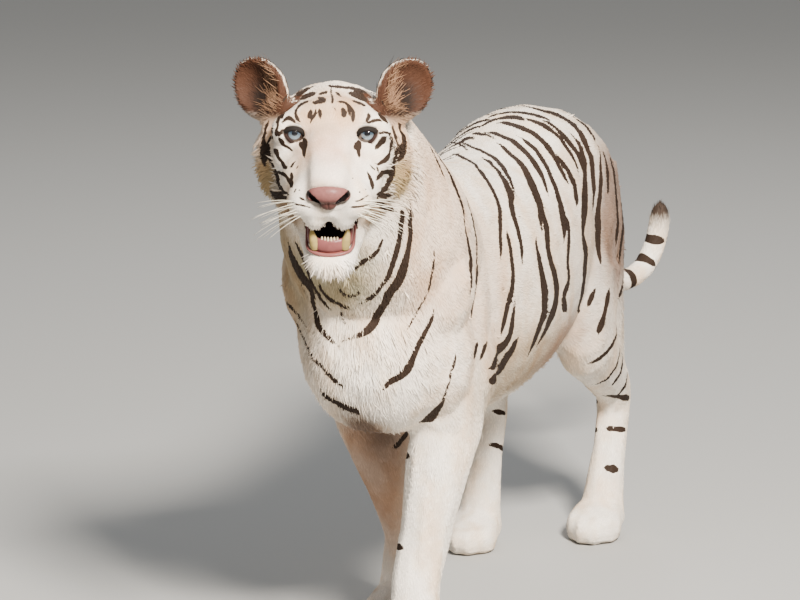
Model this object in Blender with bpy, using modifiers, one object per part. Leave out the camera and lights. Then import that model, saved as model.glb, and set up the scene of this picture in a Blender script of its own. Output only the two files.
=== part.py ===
"""A white tiger, walking slowly with its head turned to its left and its mouth a little open.

It is a still, life-size display model. Lengths are in metres, +Z is up, the body lies along Y with the
head towards -Y, and the animal's left side is +X. Every solid reaches out to the tips of the coat.

Each mass (body, head, paws) is made the same way: lofts and ellipsoids that stand for named muscles and
bones are joined, turned into one skin by a voxel Remesh, smoothed so that they flow into each other, and
thinned with Decimate. The masses meet on shared planes, and thin cuts part them into the named nodes.
"""
import math

import bmesh
import bpy
import numpy as np
from mathutils import Euler, Matrix, Vector

# ---------------------------------------------------------------- driving sizes
GAP = 0.0004  # clearance between neighbouring solids
WITHERS = 0.945  # height of the shoulders' top
LOIN = 0.935  # height of the hips' top
BRISKET = 0.435  # height of the breastbone between the forelegs
WRIST_CUT = 0.135  # height of the plane that parts a foreleg from its paw
ANKLE_CUT = 0.125  # height of the plane that parts a hind leg from its paw

HEAD_AT = Vector((0.019, -0.735, 1.091))  # between the eyes, 70 mm behind them
HEAD_YAW = math.radians(18.0)  # turned to the animal's left
HEAD_PITCH = math.radians(8.0)  # nose held down
HEAD_ROLL = math.radians(0.0)
HEAD_SIZE = 0.95  # scale of the head's own axes

EYE_RADIUS = 0.0205
EYE_AT = Vector((0.0660, -0.0620, -0.0030))  # the left eye, in the head's own axes

LEFT, RIGHT = 1.0, -1.0

# ---------------------------------------------------------------- finishes
COAT = ("white_coat", (0.86, 0.80, 0.71), 0.85)
EAR = ("ear_fur", (0.42, 0.27, 0.18), 0.9)
EYE = ("eye_blue", (0.62, 0.72, 0.80), 0.05)


def material(finish):
    """The Principled material of a finish, made once."""
    name, colour, roughness = finish
    found = bpy.data.materials.get(name)
    if found is None:
        found = bpy.data.materials.new(name)
        found.use_nodes = True
        shader = found.node_tree.nodes["Principled BSDF"]
        shader.inputs["Base Color"].default_value = (*colour, 1.0)
        shader.inputs["Roughness"].default_value = roughness
        found.diffuse_color = (*colour, 1.0)
    return found


# ---------------------------------------------------------------- building tools
def clear_scene():
    for obj in list(bpy.data.objects):
        bpy.data.objects.remove(obj)


def make_object(name, mesh_data, collection, helper=False):
    """An object holding a bmesh; a helper is a cutter or a rough form that isn't a part."""
    mesh = bpy.data.meshes.new(name)
    mesh_data.to_mesh(mesh)
    mesh_data.free()
    obj = bpy.data.objects.new(name, mesh)
    collection.objects.link(obj)
    if helper:
        obj.hide_render = True
        obj.display_type = "WIRE"
    return obj


def bake_modifiers(obj):
    """Replaces an object's mesh by what its modifiers make of it."""
    bpy.context.view_layer.update()
    graph = bpy.context.evaluated_depsgraph_get()
    made = bpy.data.meshes.new_from_object(obj.evaluated_get(graph))
    obj.modifiers.clear()
    obj.data = made
    return obj


def ellipsoid(shape, centre, radii, turn=(0, 0, 0)):
    """Adds an ellipsoid to a bmesh; turn is in degrees about X, Y and Z."""
    rotation = Euler([math.radians(a) for a in turn]).to_matrix().to_4x4()
    matrix = Matrix.Translation(centre) @ rotation @ Matrix.Diagonal((*radii, 1.0))
    bmesh.ops.create_uvsphere(shape, u_segments=32, v_segments=20, radius=1.0, matrix=matrix)


def pair(shape, centre, radii, turn=(0, 0, 0)):
    """The same ellipsoid on the left and on the right."""
    x, y, z = centre
    pitch, roll, yaw = turn
    ellipsoid(shape, (x, y, z), radii, (pitch, roll, yaw))
    ellipsoid(shape, (-x, y, z), radii, (pitch, -roll, -yaw))


def smooth_path(points, steps):
    """A Catmull-Rom curve through rows of numbers, with a few steps between each two rows."""
    rows = np.array(points, float)
    rows = np.vstack([2 * rows[0] - rows[1], rows, 2 * rows[-1] - rows[-2]])
    made = []
    for before, start, end, after in zip(rows, rows[1:], rows[2:], rows[3:]):
        for t in np.linspace(0, 1, steps, endpoint=False):
            made.append(
                0.5 * (2 * start + (end - before) * t
                       + (2 * before - 5 * start + 4 * end - after) * t ** 2
                       + (3 * start - before - 3 * end + after) * t ** 3)
            )
    made.append(rows[-2])
    return np.array(made)


def headings(path):
    """The way a path runs at each of its points."""
    last = len(path) - 1
    return [Vector(path[min(i + 1, last), :3]) - Vector(path[max(i - 1, 0), :3]) for i in range(last + 1)]


def loft(shape, rows, side=(1, 0, 0), corners=28, steps=4, squareness=2.0, runs=None):
    """A closed tube through rows of (x, y, z, half width, half height).

    The half width lies along `side`; the half height lies square to it and to the path.
    A squareness over 2 makes the section fuller at its corners. `runs` states each ring's heading.
    """
    path = smooth_path(rows, steps)
    runs = runs or headings(path)
    across = Vector(side).normalized()
    rings = []
    for ahead, (x, y, z, wide, high) in zip(runs, path):
        up = ahead.cross(across).normalized()
        flat = up.cross(ahead).normalized()
        flat *= 1 if flat.dot(across) > 0 else -1
        ring = []
        for k in range(corners):
            angle = 2 * math.pi * k / corners
            c, s = math.cos(angle), math.sin(angle)
            c = math.copysign(abs(c) ** (2 / squareness), c)
            s = math.copysign(abs(s) ** (2 / squareness), s)
            ring.append(shape.verts.new(Vector((x, y, z)) + flat * (c * wide) + up * (s * high)))
        rings.append(ring)
    faces = []
    for low, high in zip(rings, rings[1:]):
        for k in range(corners):
            faces.append(shape.faces.new((low[k], low[k - 1], high[k - 1], high[k])))
    faces.append(shape.faces.new(rings[0]))
    faces.append(shape.faces.new(rings[-1][::-1]))
    bmesh.ops.recalc_face_normals(shape, faces=faces)


def flesh_out(name, shape, voxel, rounds, triangles, plainness):
    """One smooth closed skin round the joined forms of a bmesh, thinned to about that many triangles.

    plainness(point) is 1 where the skin may be thinned freely and less where it has finer form.
    """
    obj = make_object(name, shape, helpers, helper=True)
    remesh = obj.modifiers.new("one_skin", "REMESH")
    remesh.mode = "VOXEL"
    remesh.voxel_size = voxel
    soften = obj.modifiers.new("flow", "SMOOTH")
    soften.factor = 0.5
    soften.iterations = rounds
    bake_modifiers(obj)
    count = sum(len(face.vertices) - 2 for face in obj.data.polygons)
    group = obj.vertex_groups.new(name="plain")
    for vert in obj.data.vertices:
        group.add([vert.index], plainness(vert.co), "REPLACE")
    thin = obj.modifiers.new("thin", "DECIMATE")
    thin.ratio = triangles / count
    thin.vertex_group = "plain"
    thin.vertex_group_factor = 1.0
    return bake_modifiers(obj)


def extrusion(name, outline, matrix):
    """A cutter between two copies of an outline of 3-D points."""
    shape = bmesh.new()
    near = [shape.verts.new(point) for point in outline[0]]
    far = [shape.verts.new(point) for point in outline[1]]
    shape.faces.new(near)
    shape.faces.new(far[::-1])
    for k in range(len(near)):
        shape.faces.new((near[k - 1], near[k], far[k], far[k - 1]))
    bmesh.ops.recalc_face_normals(shape, faces=shape.faces)
    shape.transform(matrix)
    return make_object(name, shape, helpers, helper=True)


def prism(name, outline, half_width, matrix):
    """A cutter: an outline of (y, z) points, extruded along X to half_width either side."""
    ends = [[(x, y, z) for y, z in outline] for x in (-half_width, half_width)]
    return extrusion(name, ends, matrix)


def wedge(name, side, front, back, armpit):
    """A cutter for one leg: all below a plane that rises outward from the armpit."""
    outline = ((0.001, -0.1), (0.001, armpit), (0.300, armpit + 0.255), (0.300, -0.1))
    ends = [[(x * side, y, z) for x, z in outline] for y in (front, back)]
    return extrusion(name, ends, Matrix.Identity(4))


def block(name, low, high):
    """A cutter: a box between two corners."""
    outline = ((low[1], low[2]), (high[1], low[2]), (high[1], high[2]), (low[1], high[2]))
    ends = [[(x, y, z) for y, z in outline] for x in (low[0], high[0])]
    return extrusion(name, ends, Matrix.Identity(4))


def slab(name, plane, shift=0.0, reach=1.0):
    """A cutter: a box whose near face lies on the plane, reaching the way the plane faces."""
    point, ahead = plane
    facing = ahead.to_track_quat("Z", "X").to_matrix().to_4x4()
    place = Matrix.Translation(point + ahead.normalized() * shift) @ facing
    outline = ((-reach, 0.0), (reach, 0.0), (reach, 2.0 * reach), (-reach, 2.0 * reach))
    return prism(name, outline, reach, place)


def solid_ball(name, centre, radii, matrix, segments=32, rings=20):
    """A cutter or a part in the form of an ellipsoid."""
    shape = bmesh.new()
    place = matrix @ Matrix.Translation(centre) @ Matrix.Diagonal((*radii, 1.0))
    bmesh.ops.create_uvsphere(shape, u_segments=segments, v_segments=rings, radius=1.0, matrix=place)
    return make_object(name, shape, helpers, helper=True)


def cone(name, foot, tip, radius):
    """A tooth: a tapering cone in the head's own axes."""
    foot, tip = Vector(foot), Vector(tip)
    shape = bmesh.new()
    turn = (tip - foot).to_track_quat("Z", "Y").to_matrix().to_4x4()
    place = HEAD @ Matrix.Translation((foot + tip) / 2) @ turn
    bmesh.ops.create_cone(shape, cap_ends=True, segments=8, radius1=radius, radius2=radius * 0.22,
                          depth=(tip - foot).length, matrix=place)
    return make_object(name, shape, helpers, helper=True)


def grown(cutter, by=GAP):
    """A copy of a cutter whose faces all stand further out by the same distance."""
    shape = bmesh.new()
    shape.from_mesh(cutter.data)
    shape.normal_update()
    moves = [vert.normal * (vert.calc_shell_factor() * by) for vert in shape.verts]
    for vert, move in zip(shape.verts, moves):
        vert.co += move
    return make_object(cutter.name + "_grown", shape, helpers, helper=True)


def boolean(obj, cutter, operation):
    modifier = obj.modifiers.new(operation.lower(), "BOOLEAN")
    modifier.operation = operation
    modifier.object = cutter
    modifier.solver = "EXACT"
    return bake_modifiers(obj)


def keep_inside(source, cutter, name):
    """A copy of source, cut down to what lies inside the cutter."""
    piece = source.copy()
    piece.data = source.data.copy()
    piece.name = name
    helpers.objects.link(piece)
    return boolean(piece, cutter, "INTERSECT")


def take(source, cutter, name):
    """Parts what lies inside the cutter from source, which keeps the rest less a thin gap."""
    piece = keep_inside(source, cutter, name)
    boolean(source, grown(cutter), "DIFFERENCE")
    return piece


def keep_ahead(obj, plane, shift=0.0):
    boolean(obj, slab("cut_plane", plane, shift), "INTERSECT")


def keep_behind(obj, plane):
    boolean(obj, slab("cut_plane", plane), "DIFFERENCE")


def half_off(source, plane, name):
    """Parts what lies ahead of the plane from source, which keeps the rest less a thin gap."""
    piece = keep_inside(source, slab("cut_plane", plane), name)
    boolean(source, slab("cut_plane", plane, -GAP), "DIFFERENCE")
    return piece


def finish_node(obj, name, finish):
    """Makes a form one of the tiger's nodes."""
    obj.name = name
    obj.data.name = name
    obj.data.materials.clear()
    obj.data.materials.append(material(finish))
    obj.data.shade_smooth()
    obj.data.set_sharp_from_angle(angle=math.radians(50))
    for holder in list(obj.users_collection):
        holder.objects.unlink(obj)
    tiger.objects.link(obj)
    obj.hide_render = False
    obj.display_type = "TEXTURED"
    return obj


# ---------------------------------------------------------------- the body
# Stations along the trunk: y, top, bottom, half width.
TRUNK = (
    (-0.590, 0.720, 0.610, 0.050),
    (-0.550, 0.800, 0.520, 0.105),
    (-0.480, 0.865, 0.455, 0.150),
    (-0.400, 0.910, BRISKET + 0.008, 0.150),
    (-0.300, WITHERS - 0.012, BRISKET, 0.160),
    (-0.180, WITHERS - 0.030, BRISKET - 0.020, 0.178),
    (-0.030, WITHERS - 0.056, BRISKET - 0.030, 0.192),
    (0.110, WITHERS - 0.062, BRISKET - 0.030, 0.192),
    (0.250, LOIN - 0.030, BRISKET - 0.010, 0.180),
    (0.400, LOIN, BRISKET + 0.050, 0.168),
    (0.510, LOIN - 0.008, BRISKET + 0.120, 0.150),
    (0.600, LOIN - 0.045, BRISKET + 0.190, 0.122),
    (0.670, LOIN - 0.115, BRISKET + 0.270, 0.075),
)

# The neck, from inside the chest up to the back of the skull: x, y, z, half width, half height.
NECK = (
    (0.000, -0.260, 0.700, 0.150, 0.190),
    (0.000, -0.370, 0.765, 0.165, 0.195),
    (0.000, -0.470, 0.845, 0.172, 0.185),
    (0.002, -0.560, 0.935, 0.148, 0.165),
    (0.006, -0.630, 1.005, 0.130, 0.138),
    (0.010, -0.680, 1.045, 0.104, 0.108),
)
NECK_CUT = (Vector((0.0, -0.560, 0.930)), Vector((0.0, -0.62, 0.78)))  # a point and the way ahead
SHOULDER_CUT = (Vector((0.0, -0.410, 0.790)), Vector((0.0, -0.80, 0.60)))


def add_trunk(shape):
    rows = [(0.0, y, (top + bottom) / 2, wide, (top - bottom) / 2) for y, top, bottom, wide in TRUNK]
    loft(shape, rows, squareness=2.25, corners=36)
    loft(shape, NECK, corners=32)
    pair(shape, (0.100, -0.450, 0.745), (0.085, 0.090, 0.120))  # base of the neck
    ellipsoid(shape, (0.005, -0.495, 0.650), (0.115, 0.100, 0.160))  # breast
    ellipsoid(shape, (0, 0.660, 0.810), (0.048, 0.080, 0.050), (-45, 0, 0))  # root of the tail
    pair(shape, (0.085, 0.460, 0.835), (0.060, 0.120, 0.060), (-8, 12, 0))  # haunch bones
    pair(shape, (0.102, -0.330, 0.720), (0.062, 0.120, 0.195), (-16, -10, 0))  # shoulder blades
    ellipsoid(shape, (0.112, -0.420, 0.620), (0.062, 0.085, 0.125), (10, -4, 0))  # left upper arm
    ellipsoid(shape, (0.120, -0.310, 0.570), (0.058, 0.095, 0.120), (35, 0, 0))
    ellipsoid(shape, (-0.102, -0.380, 0.620), (0.062, 0.085, 0.130), (10, 4, 0))  # right upper arm
    ellipsoid(shape, (-0.110, -0.260, 0.570), (0.058, 0.095, 0.120), (35, 0, 0))


def add_foreleg(shape, side, elbow, wrist, paw):
    """Upper arm and forearm down to the wrist."""
    ex, ey, ez = elbow
    wx, wy, wz = wrist
    px, py = paw
    rows = (
        (ex * 0.95, ey - 0.030, ez + 0.140, 0.070, 0.110),
        (ex, ey - 0.005, ez, 0.067, 0.086),
        (ex + (wx - ex) * 0.30, ey + (wy - ey) * 0.30 - 0.006, ez + (wz - ez) * 0.30, 0.062, 0.070),
        (ex + (wx - ex) * 0.70, ey + (wy - ey) * 0.70, ez + (wz - ez) * 0.70, 0.050, 0.054),
        (wx, wy, wz, 0.048, 0.048),
        (px, py + 0.015, 0.105, 0.048, 0.047),
        (px, py + 0.005, 0.050, 0.050, 0.056),
    )
    loft(shape, rows, squareness=2.1)


def add_hind_leg(shape, side, knee, hock, paw):
    """Thigh, shank and the long foot bones down to the paw."""
    kx, ky, kz = knee
    hx, hy, hz = hock
    px, py = paw
    ellipsoid(shape, (0.108 * side, 0.455, 0.700), (0.075, 0.155, 0.190), (18, 0, 0))  # rump and thigh
    ellipsoid(shape, (0.118 * side, (0.42 + ky) / 2, 0.580), (0.068, 0.120, 0.160), (-12, 0, 0))
    behind = (
        (0.080 * side, 0.610, 0.790, 0.055, 0.070),
        (0.098 * side, 0.555 + (hy - 0.6) * 0.20, 0.660, 0.064, 0.090),
        (0.108 * side, 0.532 + (hy - 0.6) * 0.55, 0.530, 0.056, 0.074),
        (hx, hy - 0.062, 0.415, 0.040, 0.056),
        (hx, hy - 0.008, hz + 0.040, 0.028, 0.034),
    )
    loft(shape, behind, squareness=2.1)  # back of the thigh, down to the heel
    rows = (
        (kx * 0.92, ky + 0.050, kz + 0.130, 0.072, 0.125),
        (kx, ky + 0.030, kz, 0.064, 0.096),
        (kx + (hx - kx) * 0.5, ky + (hy - ky) * 0.5 + 0.010, kz + (hz - kz) * 0.5, 0.050, 0.062),
        (hx, hy, hz, 0.039, 0.046),
        (hx + (px - hx) * 0.45, hy + (py + 0.03 - hy) * 0.5, hz * 0.62, 0.037, 0.040),
        (px, py + 0.025, 0.095, 0.042, 0.043),
        (px, py + 0.010, 0.045, 0.046, 0.050),
    )
    loft(shape, rows, squareness=2.1)
    ellipsoid(shape, (hx, hy + 0.014, hz + 0.012), (0.030, 0.034, 0.048), (-25, 0, 0))  # heel bone


def add_paw(shape, paw, size):
    """A broad paw with four toes."""
    x, y = paw
    ellipsoid(shape, (x, y - 0.010, 0.036), (0.058 * size, 0.078, 0.043))
    for out, ahead in ((-0.044, -0.060), (-0.0155, -0.084), (0.0155, -0.084), (0.044, -0.060)):
        turn = -out * 300
        ellipsoid(shape, (x + out * size, y + ahead, 0.029), (0.0190 * size, 0.040, 0.033), (0, 0, turn))
        ellipsoid(shape, (x + out * size * 0.95, y + ahead + 0.028, 0.048), (0.016 * size, 0.030, 0.022),
                  (15, 0, turn))  # knuckle


# The walk: the left foreleg and right hind leg are forward, the other two behind.
FORELEGS = {
    "left": (LEFT, (0.102, -0.345, 0.480), (0.067, -0.425, 0.185), (0.069, -0.460)),
    "right": (RIGHT, (-0.096, -0.250, 0.480), (-0.056, -0.130, 0.185), (-0.068, -0.120)),
}
HIND_LEGS = {
    "left": (LEFT, (0.130, 0.385, 0.480), (0.116, 0.675, 0.285), (0.112, 0.605)),
    "right": (RIGHT, (-0.132, 0.320, 0.465), (-0.118, 0.565, 0.280), (-0.105, 0.445)),
}
PAW_SIZE = {"fore": 1.0, "hind": 0.92}


def build_body():
    shape = bmesh.new()
    add_trunk(shape)
    for side, elbow, wrist, paw in FORELEGS.values():
        add_foreleg(shape, side, elbow, wrist, paw)
        add_paw(shape, paw, PAW_SIZE["fore"])
    for side, knee, hock, paw in HIND_LEGS.values():
        add_hind_leg(shape, side, knee, hock, paw)
        add_paw(shape, paw, PAW_SIZE["hind"])
    obj = flesh_out("trunk", shape, voxel=0.0065, rounds=14, triangles=2700,
                    plainness=lambda point: 0.93 if point.z < 0.11 else 1.0)
    below = block("floor", (-0.5, -1.0, -0.3), (0.5, 1.0, 0.0))
    return boolean(obj, below, "DIFFERENCE")


def part_legs(trunk):
    """Cuts each leg from the trunk under a slanting plane, and each paw from its leg."""
    for which, side in (("left", LEFT), ("right", RIGHT)):
        for leg, front, back, armpit in (("foreleg", -0.75, 0.02, 0.385), ("hindleg", 0.10, 0.90, 0.440)):
            region = wedge(leg + "_region", side, front, back, armpit)
            piece = take(trunk, region, leg + "_" + which)
            paw_name = leg.replace("leg", "paw") + "_" + which
            height = WRIST_CUT if leg == "foreleg" else ANKLE_CUT
            paw = take(piece, block(paw_name + "_region", (-0.5, -1.0, -0.1), (0.5, 1.0, height)), paw_name)
            finish_node(piece, leg + "_" + which, COAT)
            finish_node(paw, paw_name, COAT)


# ---------------------------------------------------------------- the tail
# A tail that hangs, sweeps back low and lifts at its tip: x, y, z, half width, half height.
TAIL = (
    (0.000, 0.685, 0.795, 0.040, 0.042),
    (0.004, 0.735, 0.745, 0.034, 0.036),
    (0.010, 0.775, 0.670, 0.030, 0.031),
    (0.020, 0.805, 0.580, 0.028, 0.028),
    (0.038, 0.850, 0.505, 0.027, 0.027),
    (0.064, 0.910, 0.472, 0.026, 0.026),
    (0.092, 0.970, 0.490, 0.026, 0.026),
    (0.108, 1.005, 0.540, 0.026, 0.026),
    (0.114, 1.014, 0.590, 0.025, 0.025),
    (0.115, 1.012, 0.616, 0.017, 0.017),
    (0.115, 1.011, 0.626, 0.007, 0.007),
)
TAIL_PARTS = (("tail_base", 0, 6), ("tail_middle", 6, 12), ("tail_tip", 12, 20))  # first and last ring


def build_tail():
    """Three lengths of one tapering sweep, each ending in a flat end a gap short of the next."""
    path = smooth_path(TAIL, 2)
    runs = headings(path)
    boolean(trunk, slab("tail_root", (Vector(path[0, :3]), runs[0]), -GAP, 0.046), "DIFFERENCE")
    for name, first, last in TAIL_PARTS:
        rows = path[first:last + 1].copy()
        if first:
            rows[0, :3] += np.array(runs[first].normalized()) * GAP
        shape = bmesh.new()
        loft(shape, rows, corners=10, steps=1, runs=runs[first:last + 1])
        finish_node(make_object(name, shape, tiger), name, COAT)


# ---------------------------------------------------------------- the head
HEAD = (
    Matrix.Translation(HEAD_AT)
    @ Matrix.Rotation(HEAD_YAW, 4, "Z")
    @ Matrix.Rotation(HEAD_PITCH, 4, "X")
    @ Matrix.Rotation(HEAD_ROLL, 4, "Y")
    @ Matrix.Scale(HEAD_SIZE, 4)
)

FACING = Vector((math.sin(HEAD_YAW), -math.cos(HEAD_YAW), 0.0))  # the way the face looks

# The upper face from the temples to the lip: x, y, z, half width, half height.
FACE = (
    (0, 0.010, -0.045, 0.106, 0.085),
    (0, -0.045, -0.050, 0.090, 0.071),
    (0, -0.090, -0.066, 0.070, 0.061),
    (0, -0.135, -0.086, 0.062, 0.052),
    (0, -0.172, -0.097, 0.054, 0.043),
    (0, -0.193, -0.100, 0.042, 0.031),
)

# The broad bridge of the nose, on top of it.
BRIDGE = (
    (0, -0.030, -0.010, 0.054, 0.046),
    (0, -0.080, -0.021, 0.048, 0.041),
    (0, -0.130, -0.043, 0.041, 0.035),
    (0, -0.176, -0.063, 0.037, 0.029),
    (0, -0.200, -0.074, 0.033, 0.022),
)

# The lower jaw, dropped a little: x, y, z, half width, half height.
JAW = (
    (0, 0.020, -0.150, 0.085, 0.055),
    (0, -0.040, -0.186, 0.070, 0.042),
    (0, -0.095, -0.214, 0.055, 0.032),
    (0, -0.140, -0.226, 0.047, 0.030),
    (0, -0.160, -0.228, 0.038, 0.026),
)

# The gap between the lips from the side, in the head's own axes: (y, z) back to their corner.
LIPS = ((-0.300, -0.122), (-0.300, -0.215), (-0.170, -0.200), (-0.150, -0.198), (-0.092, -0.166),
        (-0.094, -0.156), (-0.150, -0.135), (-0.178, -0.126))
# The hollow behind them, between the cheeks.
THROAT = ((-0.180, -0.132), (-0.180, -0.197), (-0.150, -0.196), (-0.050, -0.158), (-0.052, -0.148),
          (-0.150, -0.133))
# What the lower jaw takes in, from the same side.
JAW_REGION = ((-0.300, -0.172), (-0.150, -0.168), (-0.093, -0.161), (-0.051, -0.153), (-0.010, -0.140),
              (-0.010, -0.330), (-0.300, -0.330))

# Lower teeth: x, y, height of the foot and of the tip, radius.
TEETH = (
    (-0.0275, -0.147, -0.208, -0.157, 0.0080),
    (0.0275, -0.147, -0.208, -0.157, 0.0080),
    (-0.0150, -0.153, -0.206, -0.187, 0.0046),
    (-0.0050, -0.155, -0.206, -0.188, 0.0042),
    (0.0050, -0.155, -0.206, -0.188, 0.0042),
    (0.0150, -0.153, -0.206, -0.187, 0.0046),
)

EAR_AT = Vector((0.130, 0.030, 0.046))
EAR_TURN = (-8, 40, 22)
EAR_SIZE = (0.057, 0.025, 0.064)


def build_head():
    """The skull with its flesh and coat, in the head's own axes, with a stub of neck."""
    shape = bmesh.new()
    ellipsoid(shape, (0, 0.040, -0.028), (0.108, 0.125, 0.084))  # brain case
    ellipsoid(shape, (0, -0.026, -0.006), (0.096, 0.062, 0.058))  # forehead
    pair(shape, (0.056, -0.046, 0.018), (0.038, 0.030, 0.020), (0, 14, -20))  # brow
    pair(shape, (0.069, -0.044, -0.005), (0.044, 0.040, 0.034), (0, 0, -16))  # flesh round the eye
    ellipsoid(shape, (0, -0.005, -0.060), (0.118, 0.088, 0.100))  # cheeks
    pair(shape, (0.066, -0.044, -0.056), (0.045, 0.042, 0.046), (0, 0, -24))  # cheek bone
    pair(shape, (0.088, 0.028, -0.085), (0.056, 0.052, 0.100), (0, 6, 0))  # ruff
    pair(shape, (0.060, -0.004, -0.122), (0.054, 0.080, 0.070), (0, 0, -14))  # chewing muscle
    pair(shape, (0.052, -0.090, -0.092), (0.040, 0.058, 0.056), (0, 0, -22))  # flank of the muzzle
    pair(shape, (0.045, -0.056, -0.150), (0.034, 0.046, 0.040), (0, 0, -20))  # corner of the mouth
    pair(shape, (0.104, 0.034, 0.008), (0.032, 0.030, 0.036), (0, 24, 0))  # root of the ear
    loft(shape, FACE, squareness=2.2)
    loft(shape, BRIDGE, squareness=2.4)
    pair(shape, (0.037, -0.148, -0.103), (0.042, 0.050, 0.040), (0, 0, 6))  # whisker pad
    ellipsoid(shape, (0, -0.192, -0.074), (0.037, 0.022, 0.021), (-24, 0, 0))  # nose
    ellipsoid(shape, (0, -0.030, -0.200), (0.062, 0.085, 0.050))  # throat
    loft(shape, JAW, squareness=2.3)
    ellipsoid(shape, (0, -0.146, -0.230), (0.042, 0.030, 0.026))  # chin
    shape.transform(HEAD)
    loft(shape, NECK[2:], corners=32)
    obj = flesh_out("head", shape, voxel=0.0042, rounds=11, triangles=1840,
                    plainness=lambda point: 0.85 if (HEAD_AT - point).dot(FACING) < 0.0 else 1.0)
    boolean(obj, prism("lips", LIPS, 0.200, HEAD), "DIFFERENCE")
    boolean(obj, prism("throat", THROAT, 0.046, HEAD), "DIFFERENCE")
    return obj


def build_ear(side):
    """A rounded cup on its stalk, opening forward and outward."""
    x, y, z = EAR_AT
    pitch, roll, yaw = EAR_TURN
    turn = Euler([math.radians(a) for a in (pitch, roll * side, yaw * side)]).to_matrix().to_4x4()
    place = HEAD @ Matrix.Translation((x * side, y, z)) @ turn
    name = "ear_left" if side > 0 else "ear_right"
    ear = solid_ball(name, (0, 0, 0), EAR_SIZE, place, 16, 10)
    hollow = solid_ball(name + "_hollow", (0, -0.026, 0.010), (0.048, 0.036, 0.052), place, 14, 8)
    socket = grown(solid_ball(name + "_socket", (0, 0, 0), EAR_SIZE, place, 16, 10))
    boolean(ear, hollow, "DIFFERENCE")
    return ear, socket


clear_scene()
tiger = bpy.data.collections.new("white_tiger")
helpers = bpy.data.collections.new("cutters_and_forms")
bpy.context.scene.collection.children.link(tiger)
bpy.context.scene.collection.children.link(helpers)

trunk = build_body()
head = build_head()

# The head ends and the neck begins on one plane, the neck ends and the trunk begins on another.
keep_ahead(head, NECK_CUT, GAP)
keep_behind(trunk, NECK_CUT)
neck = half_off(trunk, SHOULDER_CUT, "neck")
part_legs(trunk)
build_tail()

for side, which in ((LEFT, "left"), (RIGHT, "right")):
    ear, socket = build_ear(side)
    boolean(head, socket, "DIFFERENCE")
    finish_node(ear, "ear_" + which, EAR)
    at = (EYE_AT.x * side, EYE_AT.y, EYE_AT.z)
    slant = Matrix.Translation((at[0], at[1] - 0.022, at[2])) @ Matrix.Rotation(-0.20 * side, 4, "Y")
    lids = solid_ball("eye_opening", (0, 0, 0), (0.0208, 0.028, 0.0118), HEAD @ slant, 16, 12)
    hole = solid_ball("eye_socket", at, [EYE_RADIUS + GAP] * 3, HEAD, 14, 10)
    boolean(head, lids, "DIFFERENCE")
    boolean(head, hole, "DIFFERENCE")
    ball = solid_ball("eye_" + which, at, [EYE_RADIUS] * 3, HEAD, 14, 10)
    finish_node(ball, "eye_" + which, EYE)

jaw = take(head, prism("jaw_region", JAW_REGION, 0.072, HEAD), "lower_jaw")
for x, y, foot, tip, radius in TEETH:
    boolean(jaw, cone("tooth", (x, y, foot), (x * 1.12, y - 0.004, tip), radius), "UNION")
finish_node(jaw, "lower_jaw", COAT)
finish_node(head, "head", COAT)
finish_node(neck, "neck", COAT)
finish_node(trunk, "trunk", COAT)

# The origin is the middle of the footprint, on the floor.
corners = np.array([obj.matrix_world @ Vector(c) for obj in tiger.objects for c in obj.bound_box])
low, high = corners.min(axis=0), corners.max(axis=0)
SHIFTED = Vector((-(low[0] + high[0]) / 2, -(low[1] + high[1]) / 2, -low[2]))
for obj in list(tiger.objects) + list(helpers.objects):
    obj.data.transform(Matrix.Translation(SHIFTED))
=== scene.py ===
# %% [markdown]
# # A white tiger, life size
# A museum model of a white tiger in mid-stride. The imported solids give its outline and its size. This
# lesson dresses them: one skin over all the flesh, a coat of small solid locks that carries the stripes,
# and the fine parts of the head. Everything is in metres, with the head towards -Y and the floor at zero.

# %% Load the frame
import math

import bmesh
import bpy
import numpy as np
from mathutils import Euler, Matrix, Vector
from mathutils.bvhtree import BVHTree


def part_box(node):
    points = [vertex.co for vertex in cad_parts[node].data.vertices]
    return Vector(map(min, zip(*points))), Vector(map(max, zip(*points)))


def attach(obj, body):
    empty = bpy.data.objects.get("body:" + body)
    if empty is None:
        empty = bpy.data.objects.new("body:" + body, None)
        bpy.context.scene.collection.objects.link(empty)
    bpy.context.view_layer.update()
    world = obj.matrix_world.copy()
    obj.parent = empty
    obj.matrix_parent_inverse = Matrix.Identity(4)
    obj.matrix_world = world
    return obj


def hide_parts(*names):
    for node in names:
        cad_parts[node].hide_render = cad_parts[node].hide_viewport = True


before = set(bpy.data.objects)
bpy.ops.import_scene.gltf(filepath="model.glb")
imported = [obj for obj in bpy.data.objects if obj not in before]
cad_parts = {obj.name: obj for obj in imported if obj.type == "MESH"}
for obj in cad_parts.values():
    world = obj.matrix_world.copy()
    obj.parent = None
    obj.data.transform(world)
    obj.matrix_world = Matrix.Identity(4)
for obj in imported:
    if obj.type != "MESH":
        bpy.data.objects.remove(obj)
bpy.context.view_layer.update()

rng = np.random.default_rng(11)

# %% [markdown]
# ## The head's own axes
# The head is turned and tilted, so its parts are easier to place in axes of its own: x to the animal's
# left, y back from the face, z up. The two eyeballs of the frame fix where those axes start. They could be
# typed in as a position, but taken from the eyes they still fit when the head moves.

# %% Head axes from the eyes
HEAD_SIZE = 0.95
HEAD_YAW, HEAD_PITCH = math.radians(18), math.radians(8)
EYE = Vector((0.066, -0.062, -0.003))  # the left eye's middle in head axes
EYE_RADIUS = 0.0205
EYE_DROP = Vector((0, 0, -0.0035))  # the dressed ball sits a little lower in its socket


def middle_of(node):
    """The middle of a node's box."""
    low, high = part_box(node)
    return (low + high) / 2


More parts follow.
